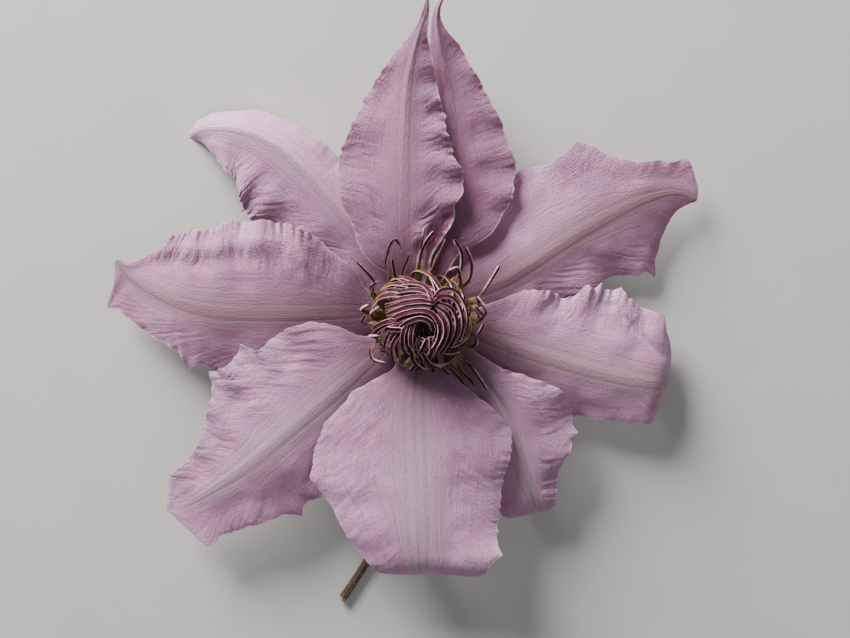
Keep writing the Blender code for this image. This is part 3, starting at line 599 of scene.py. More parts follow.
def frills_of(tepal, u, v, along):
    """Tight waves along a margin that has grown longer than its blade."""
    lift = np.zeros_like(along)
    for frill in tepal.frills:
        near_margin = np.clip((frill[0] * v[None, :] - 1 + FRILL_BAND) / FRILL_BAND, 0, 1) ** 1.5
        lift += frill_wave(tepal, frill, u[:, None], along) * near_margin
    return lift


print("tepals with a fold:", [tepal.name for tepal in TEPALS if tepal.folds])

# %% [markdown]
# The wrinkles of a half run side by side, but never dead straight or equally strong. Their course is
# also kept as a mark, so that the finish can add still finer crinkles along the same lines.

# %% Wrinkles, cockles and the ribs of the bar
COCKLES = ((0.3, 8, 7), (0.15, 4, 4))  # layers of the slow unevenness
WARP = ((1.3, 6, 5), (0.5, 2.5, 2.5))  # layers that bend the wrinkles' course
BAR_RIBS = ((0.0, 0.55), (0.5, 0.45))  # share of the bar's half width, and breadth in mm


def creases_of(tepal, u, v, along, width):
    """Height of the wrinkles, a number that is the same all along a wrinkle, and their strength."""
    seed = seed_of(tepal)
    out = np.abs(width)
    off_ends = (fade(u, 0.12, 0.3) * fade(u, 1, 0.93))[:, None]
    warp = layered_noise(along, out, seed + 2, WARP)
    patch = 0.65 + 0.35 * noise(along / 9, out / 6, seed + 6)
    heights, strength = np.zeros_like(along), np.zeros_like(along)
    course = np.array(along)
    for side, height, spacing, slant, begin in tepal.wrinkles:
        lines = along - slant * out + warp
        window = patch * fade(side * v[None, :], begin, begin + 0.3) * off_ends
        crest = 1 - 2 * np.abs(noise(lines / spacing * 1.6, out / 7 + 3 * side, seed + 4))
        finer = noise(lines / spacing * 3.4, out / 3.5, seed + 5)
        heights += height * (crest + 0.4 * finer) * window
        strength += height * window
        course = np.where(side * v[None, :] > 0, lines, course)
    return heights, course, strength


def relief_of(tepal, u, v, along, width, wrinkles):
    """Height of a tepal's whole relief over its smooth blade, in mm."""
    off_bar = fade(np.abs(v), 0.1, 0.5)[None, :]
    off_ends = (fade(u, 0.1, 0.3) * fade(u, 1, 0.95))[:, None]
    cockles = layered_noise(along, width, seed_of(tepal) + 9, COCKLES) * off_bar * off_ends
    waves = ruffles_of(tepal, u, v) + folds_of(tepal, u, v, width) + frills_of(tepal, u, v, along)
    return waves + cockles + wrinkles


def ribs_of(tepal, u, width):
    """The bar's three ribs, 1 on a rib and 0 between them, and the way out in halves of the bar."""
    spread = tepal.bar * (0.35 + 0.65 * fade(u, 0.0, 0.3)) * (0.3 + 0.7 * fade(u, 1.0, 0.6))
    spread = spread[:, None]
    ribs = np.zeros_like(width)
    for share, breadth in BAR_RIBS:
        ribs = np.maximum(ribs, np.exp(-(((np.abs(width) - share * spread) / breadth) ** 2)))
    return ribs * fade(u, 1.0, 0.9)[:, None], np.abs(width) / spread


print("a wrinkle of the lower left tepal stands", LOW_TEPALS[1].wrinkles[0][1], "mm high")

# %% [markdown]
# ## Blades as closed bodies
#
# A tepal is thin but not a sheet of paper: about a third of a millimetre thick, thinner at its
# margins and thicker at the claw. So each blade gets an upper and a lower face, joined by a narrow
# rim. The three ribs of the bar are faint grooves on the upper face and stand out underneath.
#
# Every point also carries marks for the finish, such as how far it lies from the margin. A finish
# that reads marks needs no image. Every corner gets a place in the bake map: one island for each
# face, and a strip for the rim.

# %% Meshes with marks and bake places
BAKE_MAP = "OFBake"
SHARP_ANGLE = math.radians(55)


def make_mesh(name, points, faces, corners, marks):
    """A mesh from points in mm, groups of faces, the bake places of their corners, and named marks."""
    mesh = bpy.data.meshes.new(name)
    mesh.vertices.add(len(points))
    mesh.vertices.foreach_set("co", (np.asarray(points) * MM).astype(np.float32).ravel())
    corner_points = np.concatenate([np.ravel(group) for group in faces])
    sizes = np.concatenate([np.full(len(group), group.shape[1]) for group in faces])
    mesh.loops.add(len(corner_points))
    mesh.loops.foreach_set("vertex_index", corner_points.astype(np.int32))
    mesh.polygons.add(len(sizes))
    mesh.polygons.foreach_set("loop_start", (np.cumsum(sizes) - sizes).astype(np.int32))
    mesh.update(calc_edges=True)
    bake_map = mesh.uv_layers.new(name=BAKE_MAP)
    places = np.concatenate([group.reshape(-1, 2) for group in corners])
    bake_map.data.foreach_set("uv", places.astype(np.float32).ravel())
    for mark, values in marks.items():
        attribute = mesh.attributes.new(mark, "FLOAT_VECTOR", "POINT")
        attribute.data.foreach_set("vector", np.asarray(values).astype(np.float32).ravel())
    mesh.shade_smooth()
    mesh.set_sharp_from_angle(angle=SHARP_ANGLE)
    return mesh


def show(name, data):
    """Puts a mesh, a lamp or a camera in the scene."""
    shown = bpy.data.objects.new(name, data)
    bpy.context.scene.collection.objects.link(shown)
    return shown


def add_piece(name, mesh, material, node):
    """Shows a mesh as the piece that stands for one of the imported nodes."""
    piece = show(name, mesh)
    mesh.materials.append(material)
    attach(piece, "root")
    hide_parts(node)
    triangles = sum(len(polygon.vertices) - 2 for polygon in mesh.polygons)
    print(f"{name}: {triangles} triangles for {node}")


print("corners are placed in the map", BAKE_MAP)

# %% Faces of a closed blade
MAP_BORDER = 0.01
ISLAND_HEIGHT = 0.46
RIM_STRIP = (0.487, 0.497)


def grid_faces(rows, columns):
    """Faces of a closed body between an upper and a lower grid: upper, lower and rim."""
    i, j = np.meshgrid(np.arange(rows - 1), np.arange(columns - 1), indexing="ij")
    a = (i * columns + j).ravel()
    upper = np.stack([a, a + columns, a + columns + 1, a + 1], axis=1)
    under = rows * columns
    rim = [(i, 0) for i in range(rows)] + [(rows - 1, j) for j in range(1, columns)]
    rim += [(i, columns - 1) for i in range(rows - 2, -1, -1)] + [(0, j) for j in range(columns - 2, 0, -1)]
    rim = np.array([i * columns + j for i, j in rim])
    after = np.roll(rim, -1)
    return upper, upper[:, ::-1] + under, np.stack([after, rim, rim + under, after + under], axis=1)


def grid_corners(upper, rim_count, rows, columns):
    """Bake places: the upper island below, the lower one above, and the rim between them."""
    row, column = upper // columns, upper % columns
    x = MAP_BORDER + (1 - 2 * MAP_BORDER) * row / (rows - 1)
    y = 2 * MAP_BORDER + ISLAND_HEIGHT * column / (columns - 1)
    top = np.stack([x, y], axis=2)
    along_rim = MAP_BORDER + (1 - 2 * MAP_BORDER) * np.arange(rim_count + 1) / rim_count
    here, after = along_rim[:-1], along_rim[1:]
    low, high = (np.full(rim_count, edge) for edge in RIM_STRIP)
    rim = np.stack([after, low, here, low, here, high, after, high], axis=1).reshape(-1, 4, 2)
    return top, top[:, ::-1] + (0, 0.5), rim


print("faces of a blade:", sum(len(group) for group in grid_faces(ROWS, 2 * HALF_COLUMNS + 1)))

# %% Close a blade
MIDDLE_HALF = 0.17  # half the thickness inside the blade, in mm
MARGIN_HALF = 0.06
CLAW_HALF = 0.2  # added at the claw's midrib
THIN_MARGIN = 1.6  # width of the band that thins out to the margin
GROOVE_DEPTH = 0.05  # of a rib on the upper face
RIB_DEPTH = 0.28  # of a rib under the blade
LAST_COLUMN = 0.985  # share of the half where the last column but one lies


def blade_mesh(tepal, rows, half_columns):
    """A tepal's closed blade, with the marks that its finish reads."""
    u, *directions = walk_midrib(tepal, rows)
    shares = np.append(np.linspace(0, LAST_COLUMN, half_columns), 1)
    left, right = (walk_half(tepal, side, shares, u, *directions) for side in (LEFT, RIGHT))
    middle = np.concatenate([right[:, :0:-1], left], axis=1)
    v = np.concatenate([-shares[:0:-1], shares])
    left_width, right_width = (half_width(tepal, side, u)[:, None] for side in (LEFT, RIGHT))
    widths = np.where(v[None, :] < 0, right_width, left_width)
    width = v[None, :] * widths
    along = np.broadcast_to((u * tepal.length)[:, None], width.shape)
    wrinkles, course, strength = creases_of(tepal, u, v, along, width)
    middle = middle + normals(middle) * relief_of(tepal, u, v, along, width, wrinkles)[..., None]
    middle[..., 2] = np.maximum(middle[..., 2], 0)
    margin = np.minimum(widths - np.abs(width), (tepal.length - along) * 1.5)
    half = MARGIN_HALF + (MIDDLE_HALF - MARGIN_HALF) * fade(margin, 0, THIN_MARGIN)
    half = half + CLAW_HALF * fade(u, 0.14, 0)[:, None] * fade(np.abs(v), 1, 0)[None, :]
    rib, bar = ribs_of(tepal, u, width)
    normal = normals(middle)
    middle[..., 2] = np.maximum(middle[..., 2], half * np.abs(normal[..., 2]))
    upper = middle + normal * (half - GROOVE_DEPTH * rib)[..., None]
    lower = middle - normal * (half + RIB_DEPTH * rib * fade(margin, 0, 2))[..., None]
    points = np.concatenate([upper.reshape(-1, 3), lower.reshape(-1, 3)])
    points[:, 2] = np.maximum(points[:, 2], 0)
    same = np.ones_like(width)
    marks = {
        "place": (along, width, margin),
        "blade": (u[:, None] * same, np.abs(v) * same, same),
        # The bar's greyness is partly painted shade where it makes the bar darker than the blade.
        "bar": (bar, rib, tepal.greyness * same),
        # The tone is partly the tepal's own deeper mauve and partly painted shade.
        "tone": (tepal.tone * same,) * 3,
        "crease": (course, np.abs(width), strength),
    }
    both = {}
    for mark, values in marks.items():
        over = np.stack(values, axis=2).reshape(-1, 3)
        under = over * (1, 1, 0) if mark == "blade" else over
        both[mark] = np.concatenate([over, under])
    faces = grid_faces(rows, len(v))
    corners = grid_corners(faces[0], len(faces[2]), rows, len(v))
    return make_mesh(tepal.name, points, faces, corners, both)


print("a blade is", 2 * MIDDLE_HALF, "mm thick and", 2 * MARGIN_HALF, "mm at its margin")

# %% [markdown]
# ## Writing a finish
#
# A finish is a graph of shader nodes. Wired by hand it is hard to read, so a small class wraps one
# output of a node: arithmetic on it adds Math nodes, and the graph reads as a formula.

# %% A small language for finishes
class Shade:
    """One output of a node, for shader maths written as Python."""

    def __init__(self, finish, socket):
        self.finish = finish
        self.socket = socket

    def math(self, operation, *values):
        return self.finish.node("ShaderNodeMath", {"operation": operation}, dict(enumerate(values)))

    def __add__(self, other):
        return self.math("ADD", self, other)

    def __sub__(self, other):
        return self.math("SUBTRACT", self, other)

    def __mul__(self, other):
        return self.math("MULTIPLY", self, other)

    def __rsub__(self, other):
        return self.math("SUBTRACT", other, self)

    def __abs__(self):
        return self.math("ABSOLUTE", self)

    __radd__ = __add__
    __rmul__ = __mul__

    def over(self, low, high):
        """0 below low, 1 above high, and smooth between them."""
        values = {"Value": self, "From Min": low, "From Max": high}
        return self.finish.node("ShaderNodeMapRange", {"interpolation_type": "SMOOTHSTEP"}, values)

    def under(self, high, low):
        """1 below low and 0 above high."""
        return 1 - self.over(low, high)


print("a shade can be added, subtracted and multiplied, with a number or with another shade")

# %% [markdown]
# The finish itself holds the material. Its one general method adds any node, and the others name
# the few kinds that petals, stamens and stalks need.

# %% The finish
class Finish:
    """A material that is built from marks, noise and formulas."""

    def __init__(self, name):
        self.material = bpy.data.materials.new(name)
        self.material.use_nodes = True
        self.nodes = self.material.node_tree.nodes
        self.links = self.material.node_tree.links
        self.shader = self.nodes["Principled BSDF"]

    def node(self, kind, settings=None, values=None, output=0):
        """Adds a node: its settings first, then the values or links of its sockets."""
        made = self.nodes.new(kind)
        for setting, value in (settings or {}).items():
            setattr(made, setting, value)
        for socket, value in (values or {}).items():
            self.feed(made.inputs[socket], value)
        return Shade(self, made.outputs[output])

    def feed(self, socket, value):
        if isinstance(value, Shade):
            self.links.new(value.socket, socket)
        else:
            socket.default_value = value

    def mark(self, name):
        """A mark as a vector, and its three numbers."""
        vector = self.node("ShaderNodeAttribute", {"attribute_name": name}, output="Vector")
        parts = [self.node("ShaderNodeSeparateXYZ", None, {0: vector}, axis) for axis in "XYZ"]
        return vector, *parts

    def noise(self, vector, scale, detail=2.0, roughness=0.5, distortion=0.0, offset=(0, 0, 0)):
        """Noise from 0 to 1 over a vector that is scaled and moved first."""
        moved = {0: vector, 1: scale, 2: offset}
        place = self.node("ShaderNodeVectorMath", {"operation": "MULTIPLY_ADD"}, moved)
        values = {"Vector": place, "Scale": 1.0, "Detail": detail, "Roughness": roughness}
        return self.node("ShaderNodeTexNoise", None, {**values, "Distortion": distortion}, "Fac")

    def mix(self, low, high, mask):
        """A colour between low and high."""
        settings = {"data_type": "RGBA", "clamp_result": False}
        return self.node("ShaderNodeMix", settings, {0: mask, 6: low, 7: high}, 2)

    def bump(self, height):
        """A normal from a height in mm."""
        values = {"Strength": 1.0, "Distance": MM, "Height": height}
        return self.node("ShaderNodeBump", None, values, "Normal")

    def surface(self, colour, roughness, normal, **constants):
        """Feeds the shader: what changes over the surface, then what is the same all over it."""
        self.feed(self.shader.inputs["Base Color"], colour)
        self.feed(self.shader.inputs["Roughness"], roughness)
        self.feed(self.shader.inputs["Normal"], normal)
        for socket, value in constants.items():
            self.feed(self.shader.inputs[socket.replace("_", " ")], value)
        return self.material


def tint(red, green, blue):
    """A colour given as screen values from 0 to 255, turned into the linear light that shaders use."""
    shares = [value / 255 for value in (red, green, blue)]
    linear = [share / 12.92 if share <= 0.04045 else ((share + 0.055) / 1.055) ** 2.4 for share in shares]
    return (*linear, 1)


print("a middle grey is", round(tint(128, 128, 128)[0], 3), "in linear light")

# %% [markdown]
# ## The tepals' finish
#
# The upper side is a soft mauve that darkens towards the claw, partly with a deeper pigment and partly
# with painted shade under the boss, and fine veins fan out from there. The bar along the middle has
# feathered sides. On some tepals it is only a pale flush and on others a clear grey, so one mark sets
# its strength and its colour; where the grey is darker than the blade, it is partly painted shade in
# the bar's trough. Another mark deepens a whole tepal, partly with a deeper mauve of its own and
# partly with painted shade. The pale thread round each tepal is a painted highlight on its margin.
# Underneath, a clematis is paler, with greenish ribs.
#
# Relief too fine for the mesh goes into the bump: crinkles along the wrinkles, small puckers near
# the margin, and a pebbled grain. Living tissue also scatters light. A little subsurface and a
# little sheen give that softness, and they are constant, so they're set on the shader itself.

# %% Finish the tepals
MAUVE = tint(212, 166, 202)
ROSY_MAUVE = tint(210, 154, 190)
GREY_MAUVE = tint(176, 138, 164)
CLAW_MAUVE_AND_SHADE = tint(78, 42, 60)
DEEP_MAUVE = tint(112, 66, 94)
MARGIN_HIGHLIGHT = tint(228, 208, 222)
BAR_PALE = tint(210, 184, 196)
BAR_GREY_AND_SHADE = tint(162, 132, 138)
BAR_RIB = tint(138, 106, 116)
UNDER_MAUVE = tint(190, 168, 186)
UNDER_RIB = tint(140, 132, 108)


def ridges(wave):
    """Turns noise into sharp crests: 1 where it crosses its middle, and less on both sides."""
    return 1 - abs(wave * 2 - 1)


def tepal_finish():
    finish = Finish("mauve tepal")
    place, along, _, margin = finish.mark("place")
    _, length, share, upper = finish.mark("blade")
    _, bar, rib, greyness = finish.mark("bar")
    _, tone, _, _ = finish.mark("tone")
    crease, _, _, strength = finish.mark("crease")
    # Patterns
    blotches = finish.noise(place, (0.09, 0.12, 0))
    clouds = finish.noise(place, (0.3, 0.35, 0), 3.0, offset=(7, 3, 0))
    streaks = finish.noise(place, (0.3, 2.4, 0), roughness=0.6)
    fan = finish.node("ShaderNodeCombineXYZ", None, {0: along, 1: share, 2: upper})
    veins = finish.noise(fan, (0.05, 34, 4), roughness=0.6, distortion=0.4)
    grain = finish.noise(place, (5, 3, 0), roughness=0.6)
    pebbles = finish.noise(place, (1.3, 2.1, 0), 3.0, 0.65, 0.3, (3, 9, 0))
    crepe = finish.noise(crease, (1.5, 0.32, 0), 3.0, 0.6, 0.5)
    cells = finish.noise(place, (1.0, 1.25, 0), 2.0, 0.6, 0.4, (5, 1, 0))
    # The upper side: skin, bar, claw, tone and margin
    skin = finish.mix(MAUVE, ROSY_MAUVE, blotches.over(0.35, 0.65))
    skin = finish.mix(skin, GREY_MAUVE, clouds.over(0.4, 0.75) * 0.35)
    skin = finish.mix(skin, GREY_MAUVE, veins.over(0.48, 0.7) * 0.65)
    feathered = bar + (streaks - 0.5) * 1.4
    band = feathered.under(1.75, 0.15) * length.over(0.02, 0.16) * greyness.over(0.0, 0.9)
    # At high greyness the bar is darker than the blade: partly its own grey, partly painted shade.
    skin = finish.mix(skin, finish.mix(BAR_PALE, BAR_GREY_AND_SHADE, greyness.over(0.5, 1.0)), band * 0.85)
    skin = finish.mix(skin, BAR_RIB, rib * streaks.over(0.3, 0.65) * 0.35)
    # Towards the claw the mauve deepens: partly a darker pigment, partly painted shade under the boss.
    claw_and_shade = (length + (streaks - 0.5) * 0.12 + share * 0.1).under(0.52, 0.04)
    skin = finish.mix(skin, CLAW_MAUVE_AND_SHADE, claw_and_shade * 0.9)
    # A tone below 1 darkens the whole tepal, partly a deeper mauve of its own and partly painted shade.
    skin = finish.mix(skin, DEEP_MAUVE, (1 - tone) * 2)
    # A pale thread along the margin: a painted highlight where light catches the edge.
    skin = finish.mix(skin, MARGIN_HIGHLIGHT, margin.under(0.55, 0.05) * 0.35)
    skin = finish.mix(skin, DEEP_MAUVE, pebbles.under(0.55, 0.3) * 0.14)
    # The underside
    under = finish.mix(UNDER_MAUVE, GREY_MAUVE, veins.over(0.4, 0.7) * 0.7)
    under = finish.mix(under, UNDER_RIB, feathered.under(1.3, 0.5) * 0.5)
    under = finish.mix(under, UNDER_RIB, rib * 0.7)
    # Fine relief, in mm
    crinkles = ridges(crepe) * (0.1 + strength * 1.6) * share.over(0.08, 0.4) * 0.8
    puckers = ridges(cells) * strength * share.over(0.5, 0.85) * 2.2
    height = crinkles + puckers + pebbles * 0.18 + grain * 0.03 + veins * 0.1 + streaks * 0.05
    return finish.surface(
        finish.mix(under, skin, upper),
        0.58 + grain * 0.12,
        finish.bump(height),
        Specular_IOR_Level=0.18,
        Sheen_Weight=0.1,
        Sheen_Roughness=0.5,
        Subsurface_Weight=0.15,
        Subsurface_Scale=1.5 * MM,
    )


mauve_tepal = tepal_finish()
print("nodes in the tepals' finish:", len(mauve_tepal.node_tree.nodes))

# %% [markdown]
# ## Nine blades
#
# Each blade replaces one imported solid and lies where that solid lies, because both follow the same
# formula. The hindmost layer sits lowest on the receptacle, and each layer covers the one below.

# %% Make the tepals
for tepal in TEPALS:
    mesh = blade_mesh(tepal, ROWS, HALF_COLUMNS)
    add_piece(tepal.name.removeprefix("tepal_") + "_tepal", mesh, mauve_tepal, tepal.name)

# %% [markdown]
# ## The petal-like stamen
#
# Double and half-double clematis flowers often turn a stamen into a small petal. This flower has
# one: a crinkled magenta strip with a pale margin, behind the boss. It's a blade like the others, so
# it's made by the same functions from its own row of numbers.

# %% Make the petal-like stamen
PETALOID = Tepal(
    "petaloid_stamen",
    azimuth=68,
    layer=3.1,
    length=29,
    heading=((0, 92), (0.4, 84), (0.7, 68), (1, 44)),
    pitch=((0, -4), (0.4, 0), (0.8, 6), (1, 12)),
    left=((0, 0.7), (0.4, 1.0), (0.6, 2), (0.8, 2.6), (0.93, 2), (1, 0.6)),
    right=((0, 0.8), (0.4, 1.2), (0.6, 3), (0.8, 4), (0.93, 2.8), (1, 0.6)),
    left_roll=((0, 0, 0, 0), (1, 6, 14, 20)),
    right_roll=((0, 0, 0, 0), (1, -4, 6, 14)),
    ruffles=((RIGHT, 0.5, 3, 0.0),),
    wrinkles=((RIGHT, 0.25, 1.6, 0.6, 0.1), (LEFT, 0.2, 1.6, 0.6, 0.1)),
    frills=((RIGHT, 0.4, 3.2, 0.5, 0.95), (LEFT, 0.35, 3.6, 0.5, 0.95)),
    bar=1.6,
)
PETALOID_ROWS = 121
PETALOID_HALF_COLUMNS = 18
# These are the strip's own magentas, lightened as painted light against the shadow of the top left tepal's
# margin.
MAGENTA = tint(196, 128, 172)
DEEP_MAGENTA = tint(156, 78, 124)
MAGENTA_STREAK = tint(208, 160, 192)
MAGENTA_MARGIN = tint(232, 200, 220)


def petaloid_finish():
    finish = Finish("magenta petaloid")
    place, _, _, margin = finish.mark("place")
    clouds = finish.noise(place, (0.35, 0.8, 0))
    streaks = finish.noise(place, (0.5, 4, 0))
    colour = finish.mix(MAGENTA, DEEP_MAGENTA, clouds.over(0.35, 0.65))
    colour = finish.mix(colour, MAGENTA_STREAK, streaks.over(0.5, 0.75) * 0.7)
    colour = finish.mix(colour, MAGENTA_MARGIN, margin.under(1.0, 0.1) * 0.9)
    return finish.surface(
        colour,
        0.5 + streaks * 0.1,
        finish.bump(streaks * 0.06 + clouds * 0.1),
        Specular_IOR_Level=0.3,
        Subsurface_Weight=0.15,
        Subsurface_Scale=MM,
    )


petaloid = blade_mesh(PETALOID, PETALOID_ROWS, PETALOID_HALF_COLUMNS)
add_piece("petal_like_stamen", petaloid, petaloid_finish(), "petaloid_stamen")

# %% [markdown]
# ## Strands
#
# Stamens and styles are long thin strands. Each is a section swept along a smooth line: the line
# gives its bend, and the section turns from a flat oval filament into a band with two raised edges,
# which are the pollen sacs. A curve object with a bevel has one section only, so the sweep is
# written out here.

# %% Lines and sections
FILAMENT_SECTION = np.array([
    (1, 0), (0.87, 0.5), (0.62, 0.8), (0.36, 0.94), (0, 1), (-0.36, 0.94), (-0.62, 0.8), (-0.87, 0.5),
    (-1, 0), (-0.7, -0.72), (0, -1), (0.7, -0.72),
])
ANTHER_SECTION = np.array([
    (1, 0.1), (0.97, 0.8), (0.82, 0.95), (0.66, 0.3), (0, 0.15), (-0.66, 0.3), (-0.82, 0.95), (-0.97, 0.8),
    (-1, 0.1), (-0.75, -0.7), (0, -0.6), (0.75, -0.7),
])


def round_section(sides):
    """The angles of a round section's points, and the points."""
    angles = np.linspace(0, 2 * np.pi, sides + 1)[:-1]
    return angles, np.stack([np.cos(angles), np.sin(angles)], axis=1)


def curve_through(points, steps):
    """A smooth line through points, evenly stepped between each two of them."""
    points = np.array(points, dtype=float)
    padded = np.concatenate([2 * points[:1] - points[1:2], points, 2 * points[-1:] - points[-2:-1]])
    at = np.linspace(0, len(points) - 1, steps + 1)
    span = np.minimum(at.astype(int), len(points) - 2)
    t = (at - span)[:, None]
    a, b, c, d = (padded[span + k] for k in range(4))
    return 0.5 * (2 * b + (c - a) * t + (2 * a - 5 * b + 4 * c - d) * t**2 + (3 * b - a - 3 * c + d) * t**3)


line = curve_through(((0, 0, 0), (1, 0, 1), (2, 0, 0)), 10)
print("the strand test line has", len(line), "points and peaks at", line[:, 2].max().round(2))

# %% [markdown]
# Many strands make one piece, so a bundle gathers their points, faces and marks and turns them into
# one mesh at the end. Each strand is closed by a flat face at both ends.

# %% Bundle strands
CELL_FILL = 0.92  # share of a bake cell that its strand takes up


@dataclass
class Bundle:
    """Strands that grow into one piece, with their marks and bake places."""

    points: list = field(default_factory=list)
    marks: list = field(default_factory=list)
    faces: list = field(default_factory=list)
    corners: list = field(default_factory=list)
    used: int = 0

    def add(self, line, facing, widths, thicknesses, sections, marks, cell):
        """Sweeps a section for each point of a line, facing that way, baked in its own cell."""
        along = unit(np.gradient(line, axis=0))
        across = unit(np.cross(along, facing))
        out = np.cross(across, along)
        ring = sections[..., :1] * across[:, None] * widths[:, None, None] / 2
        ring = ring + sections[..., 1:] * out[:, None] * thicknesses[:, None, None] / 2
        rows, sides = sections.shape[:2]
        first = sum(len(points) for points in self.points)
        points = (line[:, None] + ring).reshape(-1, 3)
        points[:, 2] = np.maximum(points[:, 2], 0)
        self.points.append(points)
        self.marks.append(strand_marks((rows, sides), marks))
        i, k = np.meshgrid(np.arange(rows - 1), np.arange(sides), indexing="ij")
        i, k = i.ravel(), k.ravel()
        corner_row = np.stack([i, i, i + 1, i + 1], axis=1)
        corner_side = np.stack([k, k + 1, k + 1, k], axis=1)
        self.faces.append(first + corner_row * sides + corner_side % sides)
        left, bottom, room, height = cell
        x = left + room * corner_row / (rows - 1)
        y = bottom + height * corner_side / sides
        self.corners.append(np.stack([x, y], axis=2))
        ends = np.arange(sides)
        for end, order in ((0, ends[::-1]), (rows - 1, ends)):
            self.faces.append((first + end * sides + order)[None])
            edge = np.full(sides, left + room * end / (rows - 1))
            self.corners.append(np.stack([edge, bottom + height * order / sides], axis=1)[None])
        self.used += 1

    def mesh(self, name):
        marks = {"strand": np.concatenate(self.marks)}
        return make_mesh(name, np.concatenate(self.points), self.faces, self.corners, marks)


def strand_marks(shape, values):
    """Three numbers for each point of a strand, from values for its rows, its sides or the whole."""
    return np.stack([np.broadcast_to(value, shape) for value in values], axis=2).reshape(-1, 3)


def bake_cell(number, across):
    """One of a square of cells in the bake map, as left, bottom, width and height."""
    room = CELL_FILL / across
    return number % across / across, number // across / across, room, room


print("the bake cell of the second strand:", bake_cell(1, 10))

# %% [markdown]
# ## The boss of stamens
#
# Each stamen is a flat, creamy green filament that carries a long anther: a maroon band between two
# pale pollen sacs. They come in three groups. Four rings stand round the styles, and all sweep the
# same way round. Over them lie the anthers that show most: they cross the top in sheaves that meet
# behind a small dark hole, so their ways are drawn in plan and laid on a ball. The outermost stamens
# have opened away from the boss, and a few fall over its near side. No two of those bend alike, so
# they are placed point by point. One rule for them all would look combed.

# %% Describe the rings and the lying anthers
BOSS_FOOT = 16.5  # height where the stamens are rooted, in mm
BOSS_LEAN = (0.12, -0.02)  # for each millimetre above it
STAMEN_RINGS = (
    # count, swirl, where the anther begins, (radius, height) from the root to the tip
    (12, -115, 0.3, ((2.9, 16.6), (4.4, 20.5), (5.2, 24.8), (4.8, 28.2), (2.9, 29.4))),
    (16, -100, 0.34, ((3.2, 16.6), (5.8, 19.8), (7.0, 24.0), (6.4, 27.8), (3.6, 29.4))),
    (20, -85, 0.46, ((3.5, 16.5), (7.6, 18.4), (9.6, 21.8), (9.0, 25.8), (6.2, 28.6), (3.6, 29.4))),
    (23, -60, 0.6, ((3.8, 16.4), (9.6, 17.3), (13.0, 19.8), (12.7, 23.2), (10.0, 26.4), (6.4, 28.6))),
)
BALL_MIDDLE = np.array([1.6, 1.2])  # of the anthers' ball, from the flower's axis
BALL_RADIUS = 11.6
BALL_TOP = 31.1
BALL_RISE = 9.4
NO_FILAMENT = -0.1  # where the anther begins, if it takes up the whole strand
LYING_ANTHERS = (
    # places from the root to the tip, in plan: those that meet behind the hole
    ((-8.3, 8.0), (-5.2, 10.2), (-1.8, 11.0), (1.4, 10.4), (3.2, 7.8)),
    ((-8.8, 6.6), (-5.2, 8.8), (-1.2, 9.6), (1.8, 9.0), (3.4, 7.0)),
    ((-9.0, 5.2), (-4.5, 7.4), (0.0, 8.2), (3.4, 7.4)),
    ((-9.0, 3.8), (-4.2, 6.2), (0.4, 7.0), (3.8, 6.6)),
    ((-8.8, 2.4), (-4.4, 4.9), (0.2, 5.9), (3.0, 5.9)),
    # those that arch round the hole
    ((-8.4, 1.0), (-4.2, 3.8), (0.0, 4.8), (3.2, 4.0), (5.0, 1.4)),
    ((-7.6, -0.2), (-4.0, 2.6), (0.1, 3.8), (3.0, 2.9), (4.4, 0.6), (4.2, -2.0)),
    ((-6.0, -1.4), (-3.4, 1.4), (0.0, 2.8), (2.6, 1.8), (3.7, -0.8)),
    ((-1.6, 1.2), (-2.3, -1.6), (-2.4, -5.2), (-3.6, -9.2)),
    ((-3.4, 1.2), (-4.4, -2.2), (-4.2, -6.0), (-2.4, -9.8)),
    ((-4.4, -0.6), (-7.2, -0.8), (-10.4, -1.6)),
    ((-6.4, 0.2), (-8.2, -2.6), (-8.2, -5.8), (-6.6, -8.6)),
    # those that fall down the other side
    ((3.4, 7.4), (5.6, 9.4), (8.8, 9.0), (11.4, 5.6), (12.4, 0.8), (10.8, -5.2)),
    ((3.6, 6.8), (6.2, 8.0), (9.2, 6.6), (10.9, 2.8), (10.9, -1.6), (8.8, -6.0)),
    ((5.0, 6.4), (8.0, 5.0), (9.5, 1.6), (9.0, -2.6), (6.8, -6.8), (4.8, -9.4)),
    ((4.2, 5.6), (6.8, 3.8), (8.0, 0.2), (7.0, -4.2), (4.6, -8.2)),
    ((4.6, 4.0), (6.3, 1.8), (6.5, -1.8), (4.8, -5.8), (3.2, -9.8)),
    ((4.6, 2.4), (5.2, -0.4), (4.5, -3.8), (2.4, -7.4), (1.2, -11.0)),
    ((6.8, -1.0), (5.4, -4.6), (4.2, -8.2), (4.4, -11.4)),
    ((1.8, -3.0), (0.8, -5.6), (-0.4, -8.6), (-0.4, -11.2)),
    ((-2.4, 0.6), (-3.4, -3.4), (-1.8, -7.6), (0.4, -11.6)),
    ((2.8, -3.2), (3.0, -6.4), (2.2, -9.6), (2.8, -12.2)),
)
print("anthers over the top:", len(LYING_ANTHERS))

